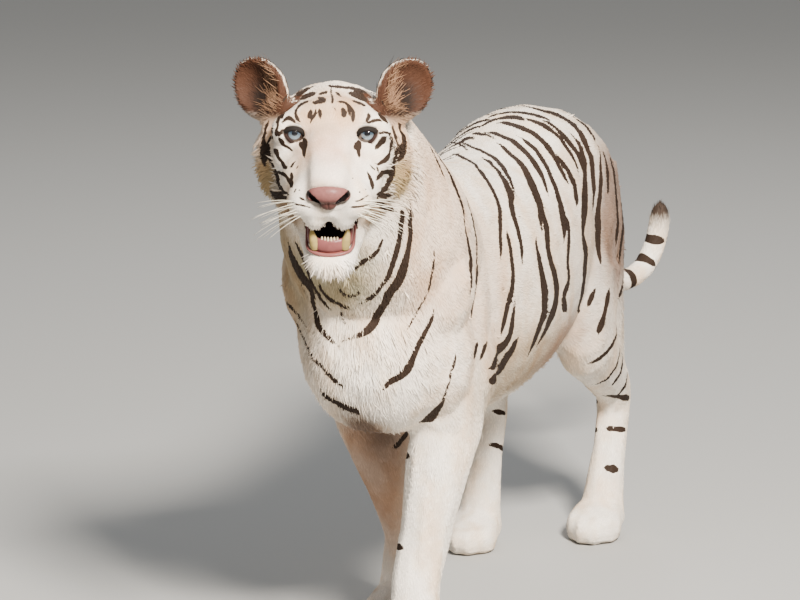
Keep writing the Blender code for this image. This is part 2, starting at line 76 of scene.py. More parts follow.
HEAD_TURN = (
    Matrix.Rotation(HEAD_YAW, 4, "Z")
    @ Matrix.Rotation(HEAD_PITCH, 4, "X")
    @ Matrix.Scale(HEAD_SIZE, 4)
)
HEAD = (
    Matrix.Translation((middle_of("eye_left") + middle_of("eye_right")) / 2)
    @ HEAD_TURN
    @ Matrix.Translation((0, -EYE.y, -EYE.z))
)
HEAD_INVERSE = np.array(HEAD.inverted())


def in_head(points):
    """World points as head axes, for a whole array at once."""
    return points @ HEAD_INVERSE[:3, :3].T + HEAD_INVERSE[:3, 3]


def from_head(points):
    """Head axes as world points."""
    matrix = np.array(HEAD)
    return np.asarray(points, float) @ matrix[:3, :3].T + matrix[:3, 3]


print("head starts at", [round(v, 3) for v in HEAD.translation])

# %% [markdown]
# ## Camera, floor and light
# A long lens from some way off keeps the body's proportions calm. A pale floor and three large soft lights
# show the coat from all sides. A world of even grey fills the shadows.

# %% Camera
CAMERA_PLACE = (2.508, -7.465, 2.348)
AZIMUTH, ELEVATION = math.radians(19.5), math.radians(12.5)
LENS, SENSOR_WIDTH = 187.2, 36.0  # millimetres
FAR_LIMIT = 100  # metres
ahead = Vector((
    -math.sin(AZIMUTH) * math.cos(ELEVATION),
    math.cos(AZIMUTH) * math.cos(ELEVATION),
    -math.sin(ELEVATION),
))
camera_data = bpy.data.cameras.new("camera")
camera_data.lens = LENS
camera_data.sensor_width = SENSOR_WIDTH
camera_data.clip_end = FAR_LIMIT
camera = bpy.data.objects.new("camera", camera_data)
camera.location = CAMERA_PLACE
camera.rotation_mode = "QUATERNION"
camera.rotation_quaternion = ahead.to_track_quat("-Z", "Y")
bpy.context.collection.objects.link(camera)
bpy.context.scene.camera = camera
print("camera", [round(v, 2) for v in camera.location])


# %% Floor and lights
def principled(name, colour=(0.8, 0.8, 0.8), roughness=0.6):
    """A new material and its Principled shader."""
    material = bpy.data.materials.new(name)
    material.use_nodes = True
    shader = material.node_tree.nodes["Principled BSDF"]
    shader.inputs["Base Color"].default_value = (*colour, 1)
    shader.inputs["Roughness"].default_value = roughness
    return material, shader


FLOOR_GREY, FLOOR_SIZE = (0.36, 0.36, 0.35), 40
SKY, SKY_STRENGTH = (0.80, 0.84, 0.88, 1), 0.33
floor_material, _ = principled("pale_floor", FLOOR_GREY, 0.8)
bpy.ops.mesh.primitive_plane_add(size=FLOOR_SIZE)
floor = bpy.context.object
floor.name = "floor"
floor.data.materials.append(floor_material)

world = bpy.data.worlds.new("studio")
world.use_nodes = True
world.node_tree.nodes["Background"].inputs["Color"].default_value = SKY
world.node_tree.nodes["Background"].inputs["Strength"].default_value = SKY_STRENGTH
bpy.context.scene.world = world


def soft_light(name, place, aim, size, power, colour=(1, 1, 1)):
    """A square area light at a place, turned to an aim."""
    data = bpy.data.lights.new(name, "AREA")
    data.size = size
    data.energy = power
    data.color = colour
    light = bpy.data.objects.new(name, data)
    light.location = place
    light.rotation_mode = "QUATERNION"
    light.rotation_quaternion = (Vector(aim) - Vector(place)).to_track_quat("-Z", "Y")
    bpy.context.collection.objects.link(light)


soft_light("key", (3.1, -4.2, 4.6), (0, -0.3, 0.7), 1.2, 2000, (1.0, 0.93, 0.84))
soft_light("fill", (-4.2, -3.6, 2.6), (0, -0.2, 0.6), 2.5, 24, (0.96, 0.97, 1.0))
soft_light("rim", (-1.0, 3.6, 4.0), (0, 0.2, 0.7), 2.0, 90)

# %% [markdown]
# ## One skin
# A real hide has no seams, but the frame is cut into nodes. The nodes of flesh are joined and turned into
# one closed surface by a voxel remesh, which welds the thin cuts shut. Then it is smoothed, given finer
# faces on the head, and sunk by the coat's depth, so that the tips of the hair reach the outline of the
# solids.

# %% Join and remesh the flesh
FLESH = [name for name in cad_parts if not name.startswith("eye_")]


def mesh_piece(name, mesh, material=None):
    """Links a mesh as a piece that rides on the one body of the frame."""
    piece = bpy.data.objects.new(name, mesh)
    bpy.context.collection.objects.link(piece)
    if material:
        mesh.materials.append(material)
    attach(piece, "root")
    return piece


def triangle_count(mesh):
    """How many triangles a mesh's faces make."""
    return sum(len(face.vertices) - 2 for face in mesh.polygons)


def baked(piece):
    """The piece's mesh with its modifiers applied."""
    graph = bpy.context.evaluated_depsgraph_get()
    mesh = bpy.data.meshes.new_from_object(piece.evaluated_get(graph))
    piece.modifiers.clear()
    old, piece.data = piece.data, mesh
    bpy.data.meshes.remove(old)
    mesh.name = piece.name
    return mesh


def ball_shape(shape, place, radii, turn=(0, 0, 0)):
    """Adds an ellipsoid in head axes to a bmesh."""
    matrix = (HEAD @ Matrix.Translation(place) @ Euler([math.radians(a) for a in turn]).to_matrix().to_4x4()
              @ Matrix.Diagonal((*radii, 1)))
    bmesh.ops.create_icosphere(shape, subdivisions=3, radius=1, matrix=matrix)


LOBE, LOBE_RADII = (0.0255, -0.1600, -0.1290), (0.0245, 0.0270, 0.0255)
PAD, PAD_RADII, PAD_TURN = (0.0410, -0.1320, -0.1240), (0.0120, 0.0330, 0.0240), 6
WELD_GAP = 0.00002
SKIN_VOXEL = 0.0052
shape = bmesh.new()
for node in FLESH:
    shape.from_mesh(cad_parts[node].data)
bmesh.ops.remove_doubles(shape, verts=shape.verts, dist=WELD_GAP)
# The upper lip hangs in a lobe under each whisker pad.
for side in (1, -1):
    ball_shape(shape, (LOBE[0] * side, *LOBE[1:]), LOBE_RADII)
    ball_shape(shape, (PAD[0] * side, *PAD[1:]), PAD_RADII, (0, 0, PAD_TURN * side))
skin_mesh = bpy.data.meshes.new("skin")
shape.to_mesh(skin_mesh)
shape.free()
skin = mesh_piece("skin", skin_mesh)
remesh = skin.modifiers.new("weld", "REMESH")
remesh.mode = "VOXEL"
remesh.voxel_size = SKIN_VOXEL
soften = skin.modifiers.new("soften", "SMOOTH")
soften.factor = 0.5
soften.iterations = 5
skin_mesh = baked(skin)
print("skin faces", len(skin_mesh.polygons))

# %% [markdown]
# ## Fewer faces on the body, finer ones on the head
# The body's large smooth forms need fewer faces than the head, so only they are thinned out. The feet are
# kept too, because their toes are small. A thinner's ratio counts the whole mesh, though it only takes
# faces from the group it is given. Then the face's edges are cut in two and smoothed.

# %% Thin the body
BEHIND_HEAD, BELOW_HEAD, ABOVE_FEET = 0.05, -0.23, 0.09
SHARE_KEPT = 0.25
plain = skin.vertex_groups.new(name="plain")
spots = np.empty(len(skin_mesh.vertices) * 3)
skin_mesh.vertices.foreach_get("co", spots)
own = in_head(spots.reshape(-1, 3))
off_head = ((own[:, 1] > BEHIND_HEAD) | (own[:, 2] < BELOW_HEAD)) & (spots[2::3] > ABOVE_FEET)
plain.add(np.flatnonzero(off_head).tolist(), 1.0, "REPLACE")
thin = skin.modifiers.new("thin", "DECIMATE")
thin.ratio = SHARE_KEPT
thin.vertex_group = "plain"
skin_mesh = baked(skin)
skin.vertex_groups.clear()
print("skin triangles after thinning", triangle_count(skin_mesh))


# %% Finer faces on the head
def coordinates(mesh, key="co"):
    """The places, or another vector, of all vertices of a mesh."""
    values = np.empty(len(mesh.vertices) * 3)
    mesh.vertices.foreach_get(key, values)
    return values.reshape(-1, 3)


FACE_BACK, FACE_HALF_WIDTH, FACE_LOW = -0.035, 0.110, -0.220  # head axes
shape = bmesh.new()
shape.from_mesh(skin_mesh)
near_face = []
for edge in shape.edges:
    middle = np.array((edge.verts[0].co + edge.verts[1].co) / 2)
    x, y, z = HEAD_INVERSE[:3, :3] @ middle + HEAD_INVERSE[:3, 3]
    if y < FACE_BACK and abs(x) < FACE_HALF_WIDTH and z > FACE_LOW:
        near_face.append(edge)
bmesh.ops.subdivide_edges(shape, edges=near_face, cuts=1, use_grid_fill=True)
verts = list({vert for edge in near_face for vert in edge.verts})
for _ in range(2):
    bmesh.ops.smooth_vert(shape, verts=verts, factor=0.5, use_axis_x=True, use_axis_y=True, use_axis_z=True)
shape.to_mesh(skin_mesh)
shape.free()
print("skin triangles with the finer head", triangle_count(skin_mesh))

# %% [markdown]
# ## Lines through the body
# Fur lies along the body: back from the nose, down the legs, out along the tail. So each part gets a line
# through its middle, running the way its hair lies. The same lines tell which part a point belongs to, and
# the angle and the length around a line unwrap the skin of that part onto a flat sheet.

# %% The lines
# Each has a radius, which is about that of the part, and its places from its root to its end.
LINES = {
    "trunk": (0.19, ((0, -0.52, 0.66), (0, -0.30, 0.68), (0, 0.00, 0.65), (0, 0.30, 0.67), (0, 0.60, 0.76))),
    "neck": (0.17, ((0.02, -0.76, 1.02), (0.01, -0.66, 0.92), (0, -0.58, 0.80), (0, -0.56, 0.66))),
    "foreleg_left": (0.075, ((0.105, -0.42, 0.60), (0.104, -0.40, 0.48), (0.069, -0.48, 0.19),
                             (0.071, -0.52, 0.06), (0.071, -0.62, 0.03))),
    "foreleg_right": (0.075, ((-0.105, -0.36, 0.60), (-0.094, -0.31, 0.48), (-0.054, -0.19, 0.19),
                              (-0.066, -0.18, 0.06), (-0.066, -0.28, 0.03))),
    "hindleg_left": (0.085, ((0.105, 0.44, 0.70), (0.118, 0.40, 0.52), (0.125, 0.45, 0.40),
                             (0.118, 0.61, 0.28), (0.114, 0.55, 0.06), (0.114, 0.45, 0.03))),
    "hindleg_right": (0.085, ((-0.105, 0.42, 0.70), (-0.118, 0.34, 0.52), (-0.120, 0.37, 0.40),
                              (-0.116, 0.50, 0.28), (-0.103, 0.40, 0.06), (-0.103, 0.30, 0.03))),
    "tail": (0.034, ((0, 0.62, 0.80), (0.006, 0.68, 0.74), (0.012, 0.72, 0.67), (0.022, 0.75, 0.58),
                     (0.040, 0.79, 0.505), (0.066, 0.85, 0.472), (0.094, 0.91, 0.490),
                     (0.110, 0.946, 0.540),
                     (0.117, 0.954, 0.60), (0.117, 0.952, 0.63))),
}
HEAD_LINE = from_head(((0, -0.21, -0.10), (0, -0.10, -0.08), (0, 0.00, -0.06), (0, 0.10, -0.06)))
LINES["head"] = (0.115, HEAD_LINE)
for side, which in ((1, "left"), (-1, "right")):
    root = (0.100 * side, 0.030, 0.000)
    tip = (0.150 * side, 0.026, 0.090)
    LINES["ear_" + which] = (0.048, from_head((root, tip)))
PARTS = list(LINES)


def along_line(points, line):
    """For each point: the distance to a line, and the length, direction and place of its nearest spot."""
    line = np.asarray(line, float)
    best = np.full(len(points), 1e9)
    length = np.zeros(len(points))
    way = np.zeros((len(points), 3))
    foot = np.zeros((len(points), 3))
    run = 0.0
    for start, end in zip(line[:-1], line[1:]):
        step = end - start
        size = np.linalg.norm(step)
        share = np.clip((points - start) @ step / size ** 2, 0, 1)
        near = start + share[:, None] * step
        distance = np.linalg.norm(points - near, axis=1)
        closer = distance < best
        best[closer] = distance[closer]
        length[closer] = run + share[closer] * size
        way[closer] = step / size
        foot[closer] = near[closer]
        run += size
    return best, length, way, foot


def unit(vectors):
    """Vectors brought to length one."""
    return vectors / np.maximum(np.linalg.norm(vectors, axis=-1, keepdims=True), 1e-9)


def parts_of(points):
    """For each point: its part's number, and the angle and length round that part's line."""
    nearest = np.full(len(points), 1e9)
    part = np.zeros(len(points), int)
    sheet = np.zeros((len(points), 2))
    for number, name in enumerate(PARTS):
        radius, line = LINES[name]
        distance, length, way, foot = along_line(points, line)
        out = points - foot
        upright = np.abs(way[:, 2]) > 0.75
        guide = np.where(upright[:, None], (0.0, 1.0, 0.0), (0.0, 0.0, 1.0))
        across = unit(np.cross(way, guide))
        up = np.cross(across, way)
        angle = np.arctan2((out * across).sum(1), (out * up).sum(1))
        score = distance / radius
        closer = score < nearest
        nearest[closer] = score[closer]
        part[closer] = number
        sheet[closer, 0] = angle[closer]
        sheet[closer, 1] = length[closer]
    return part, sheet


points = coordinates(skin_mesh)
part, _ = parts_of(points)
print("vertices by part", {name: int((part == i).sum()) for i, name in enumerate(PARTS)})


# %% [markdown]
# ## Which way the hair lies
# Near a part the hair runs along that part's line, and between two parts the lines are blended by distance.
# On the trunk's sides it droops a little, on the head it runs back from the nose, and on the ears it fans
# out from their roots. Combing by hand would also do, but a rule gives any point its lie at once.

# %% Which way the hair lies
HALF_WIDTH, MOST_DROOP = 0.18, 0.35
NOSE_TIP = (0, -0.235, -0.085)
EAR_ROOT = (0.100, 0.03, 0.0)


def hair_way(points, normals):
    """The lie of the hair: a blend of the parts' lines, laid into the skin."""
    total = np.zeros_like(points)
    for name in PARTS:
        if name == "head" or name.startswith("ear"):
            continue
        radius, line = LINES[name]
        distance, length, way, foot = along_line(points, line)
        if name == "trunk":
            droop = np.clip(np.abs(points[:, 0]) / HALF_WIDTH, 0, 1) * MOST_DROOP
            way = way + np.stack([np.zeros(len(points)), np.zeros(len(points)), -droop], 1)
        total += unit(way) / ((distance / radius) ** 5 + 0.05)[:, None]
    total = unit(total)
    own = in_head(points)
    from_middle = np.linalg.norm((own - (0, -0.06, -0.08)) / (0.14, 0.17, 0.16), axis=1)
    head_share = np.clip(1.25 - from_middle, 0, 1) * 4
    from_nose = unit(points - from_head(NOSE_TIP))
    total += from_nose * np.clip(head_share, 0, 3)[:, None]
    for side, which in ((1, "left"), (-1, "right")):
        radius, line = LINES["ear_" + which]
        distance, length, way, foot = along_line(points, line)
        spread = unit(points - from_head((EAR_ROOT[0] * side, *EAR_ROOT[1:])))
        total += spread * (np.clip(1.4 - distance / radius, 0, 1) * 8)[:, None]
    total -= (total * normals).sum(1)[:, None] * normals
    return unit(total)


# %% [markdown]
# ## How deep the coat is
# Hair is longest on the cheeks, breast and belly and shortest on the face and feet. One rule gives the
# coat's depth anywhere: it sinks the skin, and later it sets the length of every lock.

# %% Coat length
BODY_HAIR, LEG_HAIR, FOOT_HAIR = 0.0118, 0.011, 0.007  # lengths of a lock, in metres
HEAD_HAIR, FACE_TRIM = 0.0145, 0.0100
BELLY_MORE, BREAST_MORE, RUFF_MORE, CHIN_MORE = 0.008, 0.010, 0.016, 0.010


def blob(points, place, radii):
    """One at the place, fading to nothing over the radii."""
    return np.exp(-(((points - place) / radii) ** 2).sum(1))


def folded(points):
    """Points with the right side laid over the left one."""
    return np.stack([np.abs(points[:, 0]), points[:, 1], points[:, 2]], 1)


def on_head(own):
    """One on the head, zero off it, from places in head axes."""
    share = np.clip(1.35 - np.linalg.norm((own - (0, -0.02, -0.07)) / (0.15, 0.20, 0.17), axis=1), 0, 1)
    return np.clip(share * 3, 0, 1)


def coat_length(points):
    """Length of a lock in metres."""
    own = in_head(points)
    length = np.full(len(points), BODY_HAIR)
    belly = np.clip((0.52 - points[:, 2]) / 0.10, 0, 1) * np.clip(1 - np.abs(points[:, 0]) / 0.17, 0, 1)
    length += BELLY_MORE * belly
    length += BREAST_MORE * blob(points, (0.0, -0.66, 0.72), (0.15, 0.12, 0.18))
    leg = np.clip((0.46 - points[:, 2]) / 0.20, 0, 1) * (points[:, 1] < 0.68)
    length = length * (1 - leg) + LEG_HAIR * leg
    foot = np.clip((0.14 - points[:, 2]) / 0.08, 0, 1)
    length = length * (1 - foot) + FOOT_HAIR * foot
    head = on_head(own)
    face = np.clip((0.08 - own[:, 1]) / 0.20, 0, 1)
    length = length * (1 - head) + head * (HEAD_HAIR - FACE_TRIM * face)
    length += RUFF_MORE * blob(folded(own), (0.105, 0.02, -0.115), (0.04, 0.05, 0.06))
    length += CHIN_MORE * blob(own, (0.0, -0.13, -0.25), (0.05, 0.05, 0.03))
    return length


# %% [markdown]
# ## Sink the skin
# The locks lie nearly flat, so they stand off the skin by about a quarter of their length. The skin is sunk
# by that much. The ears are thin and the soles bear on the floor, so they hardly move. Behind the nose
# leather the skin is sunk deeper, which leaves room for it.

# %% Sink the skin by the coat's depth
SINK_SHARE, EAR_SINK, SOLE_TOP, NOSE_POCKET = 0.26, 0.0015, 0.012, 0.011
normals = coordinates(skin_mesh, "normal")
sink = coat_length(points) * SINK_SHARE
ears = np.isin(part, [PARTS.index("ear_left"), PARTS.index("ear_right")])
sink[ears] = EAR_SINK
sink[points[:, 2] < SOLE_TOP] = 0.0
under_nose = np.linalg.norm((in_head(points) - (0, -0.200, -0.081)) / (0.040, 0.026, 0.024), axis=1)
sink += NOSE_POCKET * np.clip((1.05 - under_nose) * 3, 0, 1)
points = points - normals * sink[:, None]
points[:, 2] = np.maximum(points[:, 2], 0.0)
skin_mesh.vertices.foreach_set("co", points.ravel())
skin_mesh.update()
print("skin sunk by", round(float(sink.min()) * 1000, 1), "to", round(float(sink.max()) * 1000, 1), "mm")

# %% [markdown]
# ## Stripes
# A stripe is a stroke along the skin that swells in its middle and thins to its ends. Each is a few places
# on the body joined by a smooth curve, with a width. A painted texture would be the usual way, but strokes
# need no texture, and both skin and coat can ask how far any point lies inside the nearest stroke. The
# tables below weren't worked out here. Another script made them: it laid marks of the real pattern on the
# solids and wrote down where they fell. Only the nape, the hips and two short marks by the eyes were listed
# directly. The far flank carries the same strokes mirrored and shifted a little, as no tiger's two sides
# are alike.

# %% Strokes on the body
# Each place is x, y, z in metres and the stripe's width there in millimetres.
FRONT_STROKES = {
    "collar": (
        ((0.132, -0.702, 0.938, 8), (0.131, -0.693, 0.91, 11), (0.126, -0.679, 0.858, 11),
         (0.11, -0.671, 0.805, 15), (0.099, -0.668, 0.78, 18), (0.081, -0.665, 0.756, 16),
         (0.066, -0.654, 0.731, 16), (0.037, -0.646, 0.69, 15), (0.021, -0.651, 0.677, 11),
         (0.004, -0.652, 0.669, 7), (-0.011, -0.651, 0.664, 6), (-0.025, -0.649, 0.661, 3)),
        ((0.123, -0.719, 0.932, 7), (0.12, -0.71, 0.9, 11), (0.113, -0.701, 0.865, 12),
         (0.096, -0.69, 0.813, 10), (0.083, -0.685, 0.788, 9), (0.067, -0.682, 0.766, 8),
         (0.049, -0.675, 0.749, 8), (0.012, -0.666, 0.724, 3)),
        ((-0.105, -0.688, 0.839, 24), (-0.102, -0.677, 0.809, 29),
         (-0.092, -0.674, 0.786, 32), (-0.079, -0.669, 0.764, 28), (-0.072, -0.656, 0.743, 15),
         (-0.082, -0.625, 0.714, 12), (-0.076, -0.626, 0.69, 13), (-0.062, -0.637, 0.675, 11),
         (-0.012, -0.653, 0.644, 3)),
    ),
    "throat": (
        ((-0.08, -0.724, 0.855, 8), (-0.066, -0.701, 0.802, 11), (-0.054, -0.663, 0.737, 8),
         (-0.045, -0.657, 0.723, 9), (-0.036, -0.649, 0.711, 4)),
        ((-0.044, -0.694, 0.771, 5), (-0.042, -0.681, 0.752, 10), (-0.031, -0.674, 0.739, 12),
         (-0.004, -0.666, 0.724, 10), (0.01, -0.666, 0.724, 4)),
        ((-0.005, -0.702, 0.77, 4), (-0, -0.691, 0.756, 9), (0.013, -0.686, 0.75, 9),
         (0.027, -0.688, 0.757, 7), (0.036, -0.692, 0.766, 3)),
        ((0.093, -0.729, 0.873, 5), (0.082, -0.725, 0.848, 7), (0.069, -0.726, 0.835, 9),
         (0.053, -0.727, 0.825, 10), (0.028, -0.721, 0.8, 2)),
        ((-0.017, -0.654, 0.714, 3), (-0.019, -0.646, 0.701, 6), (-0.012, -0.648, 0.691, 3)),
    ),
    "shoulder": (
        ((-0.168, -0.557, 0.754, 3), (-0.153, -0.551, 0.676, 5), (-0.131, -0.574, 0.66, 7),
         (-0.067, -0.636, 0.61, 9), (-0.023, -0.644, 0.577, 10), (-0.016, -0.643, 0.568, 4)),
        ((-0.165, -0.551, 0.705, 4), (-0.147, -0.571, 0.696, 10), (-0.131, -0.577, 0.685, 7),
         (-0.097, -0.612, 0.665, 3)),
    ),
    "breast": (
        ((-0.075, -0.614, 0.562, 11), (-0.066, -0.614, 0.547, 15), (-0.049, -0.617, 0.54, 18),
         (-0.012, -0.62, 0.527, 19), (0.002, -0.609, 0.515, 15)),
        ((0.137, -0.587, 0.718, 6), (0.13, -0.583, 0.693, 8), (0.116, -0.596, 0.658, 10),
         (0.102, -0.612, 0.62, 15), (0.095, -0.617, 0.606, 15), (0.084, -0.624, 0.595, 13),
         (0.072, -0.633, 0.589, 12), (0.062, -0.637, 0.578, 9), (0.053, -0.633, 0.565, 5)),
    ),
    "breast faint": (
        ((0.152, -0.619, 0.843, 4), (0.149, -0.615, 0.811, 5), (0.141, -0.609, 0.776, 5),
         (0.129, -0.601, 0.743, 5), (0.103, -0.608, 0.694, 4), (0.092, -0.62, 0.678, 3)),
    ),
    "elbow": (
        ((0.162, -0.531, 0.631, 6), (0.159, -0.533, 0.61, 7), (0.153, -0.536, 0.587, 5),
         (0.141, -0.531, 0.547, 6), (0.129, -0.523, 0.526, 10), (0.114, -0.513, 0.507, 16),
         (0.099, -0.509, 0.493, 32), (0.09, -0.521, 0.488, 25)),
    ),
}
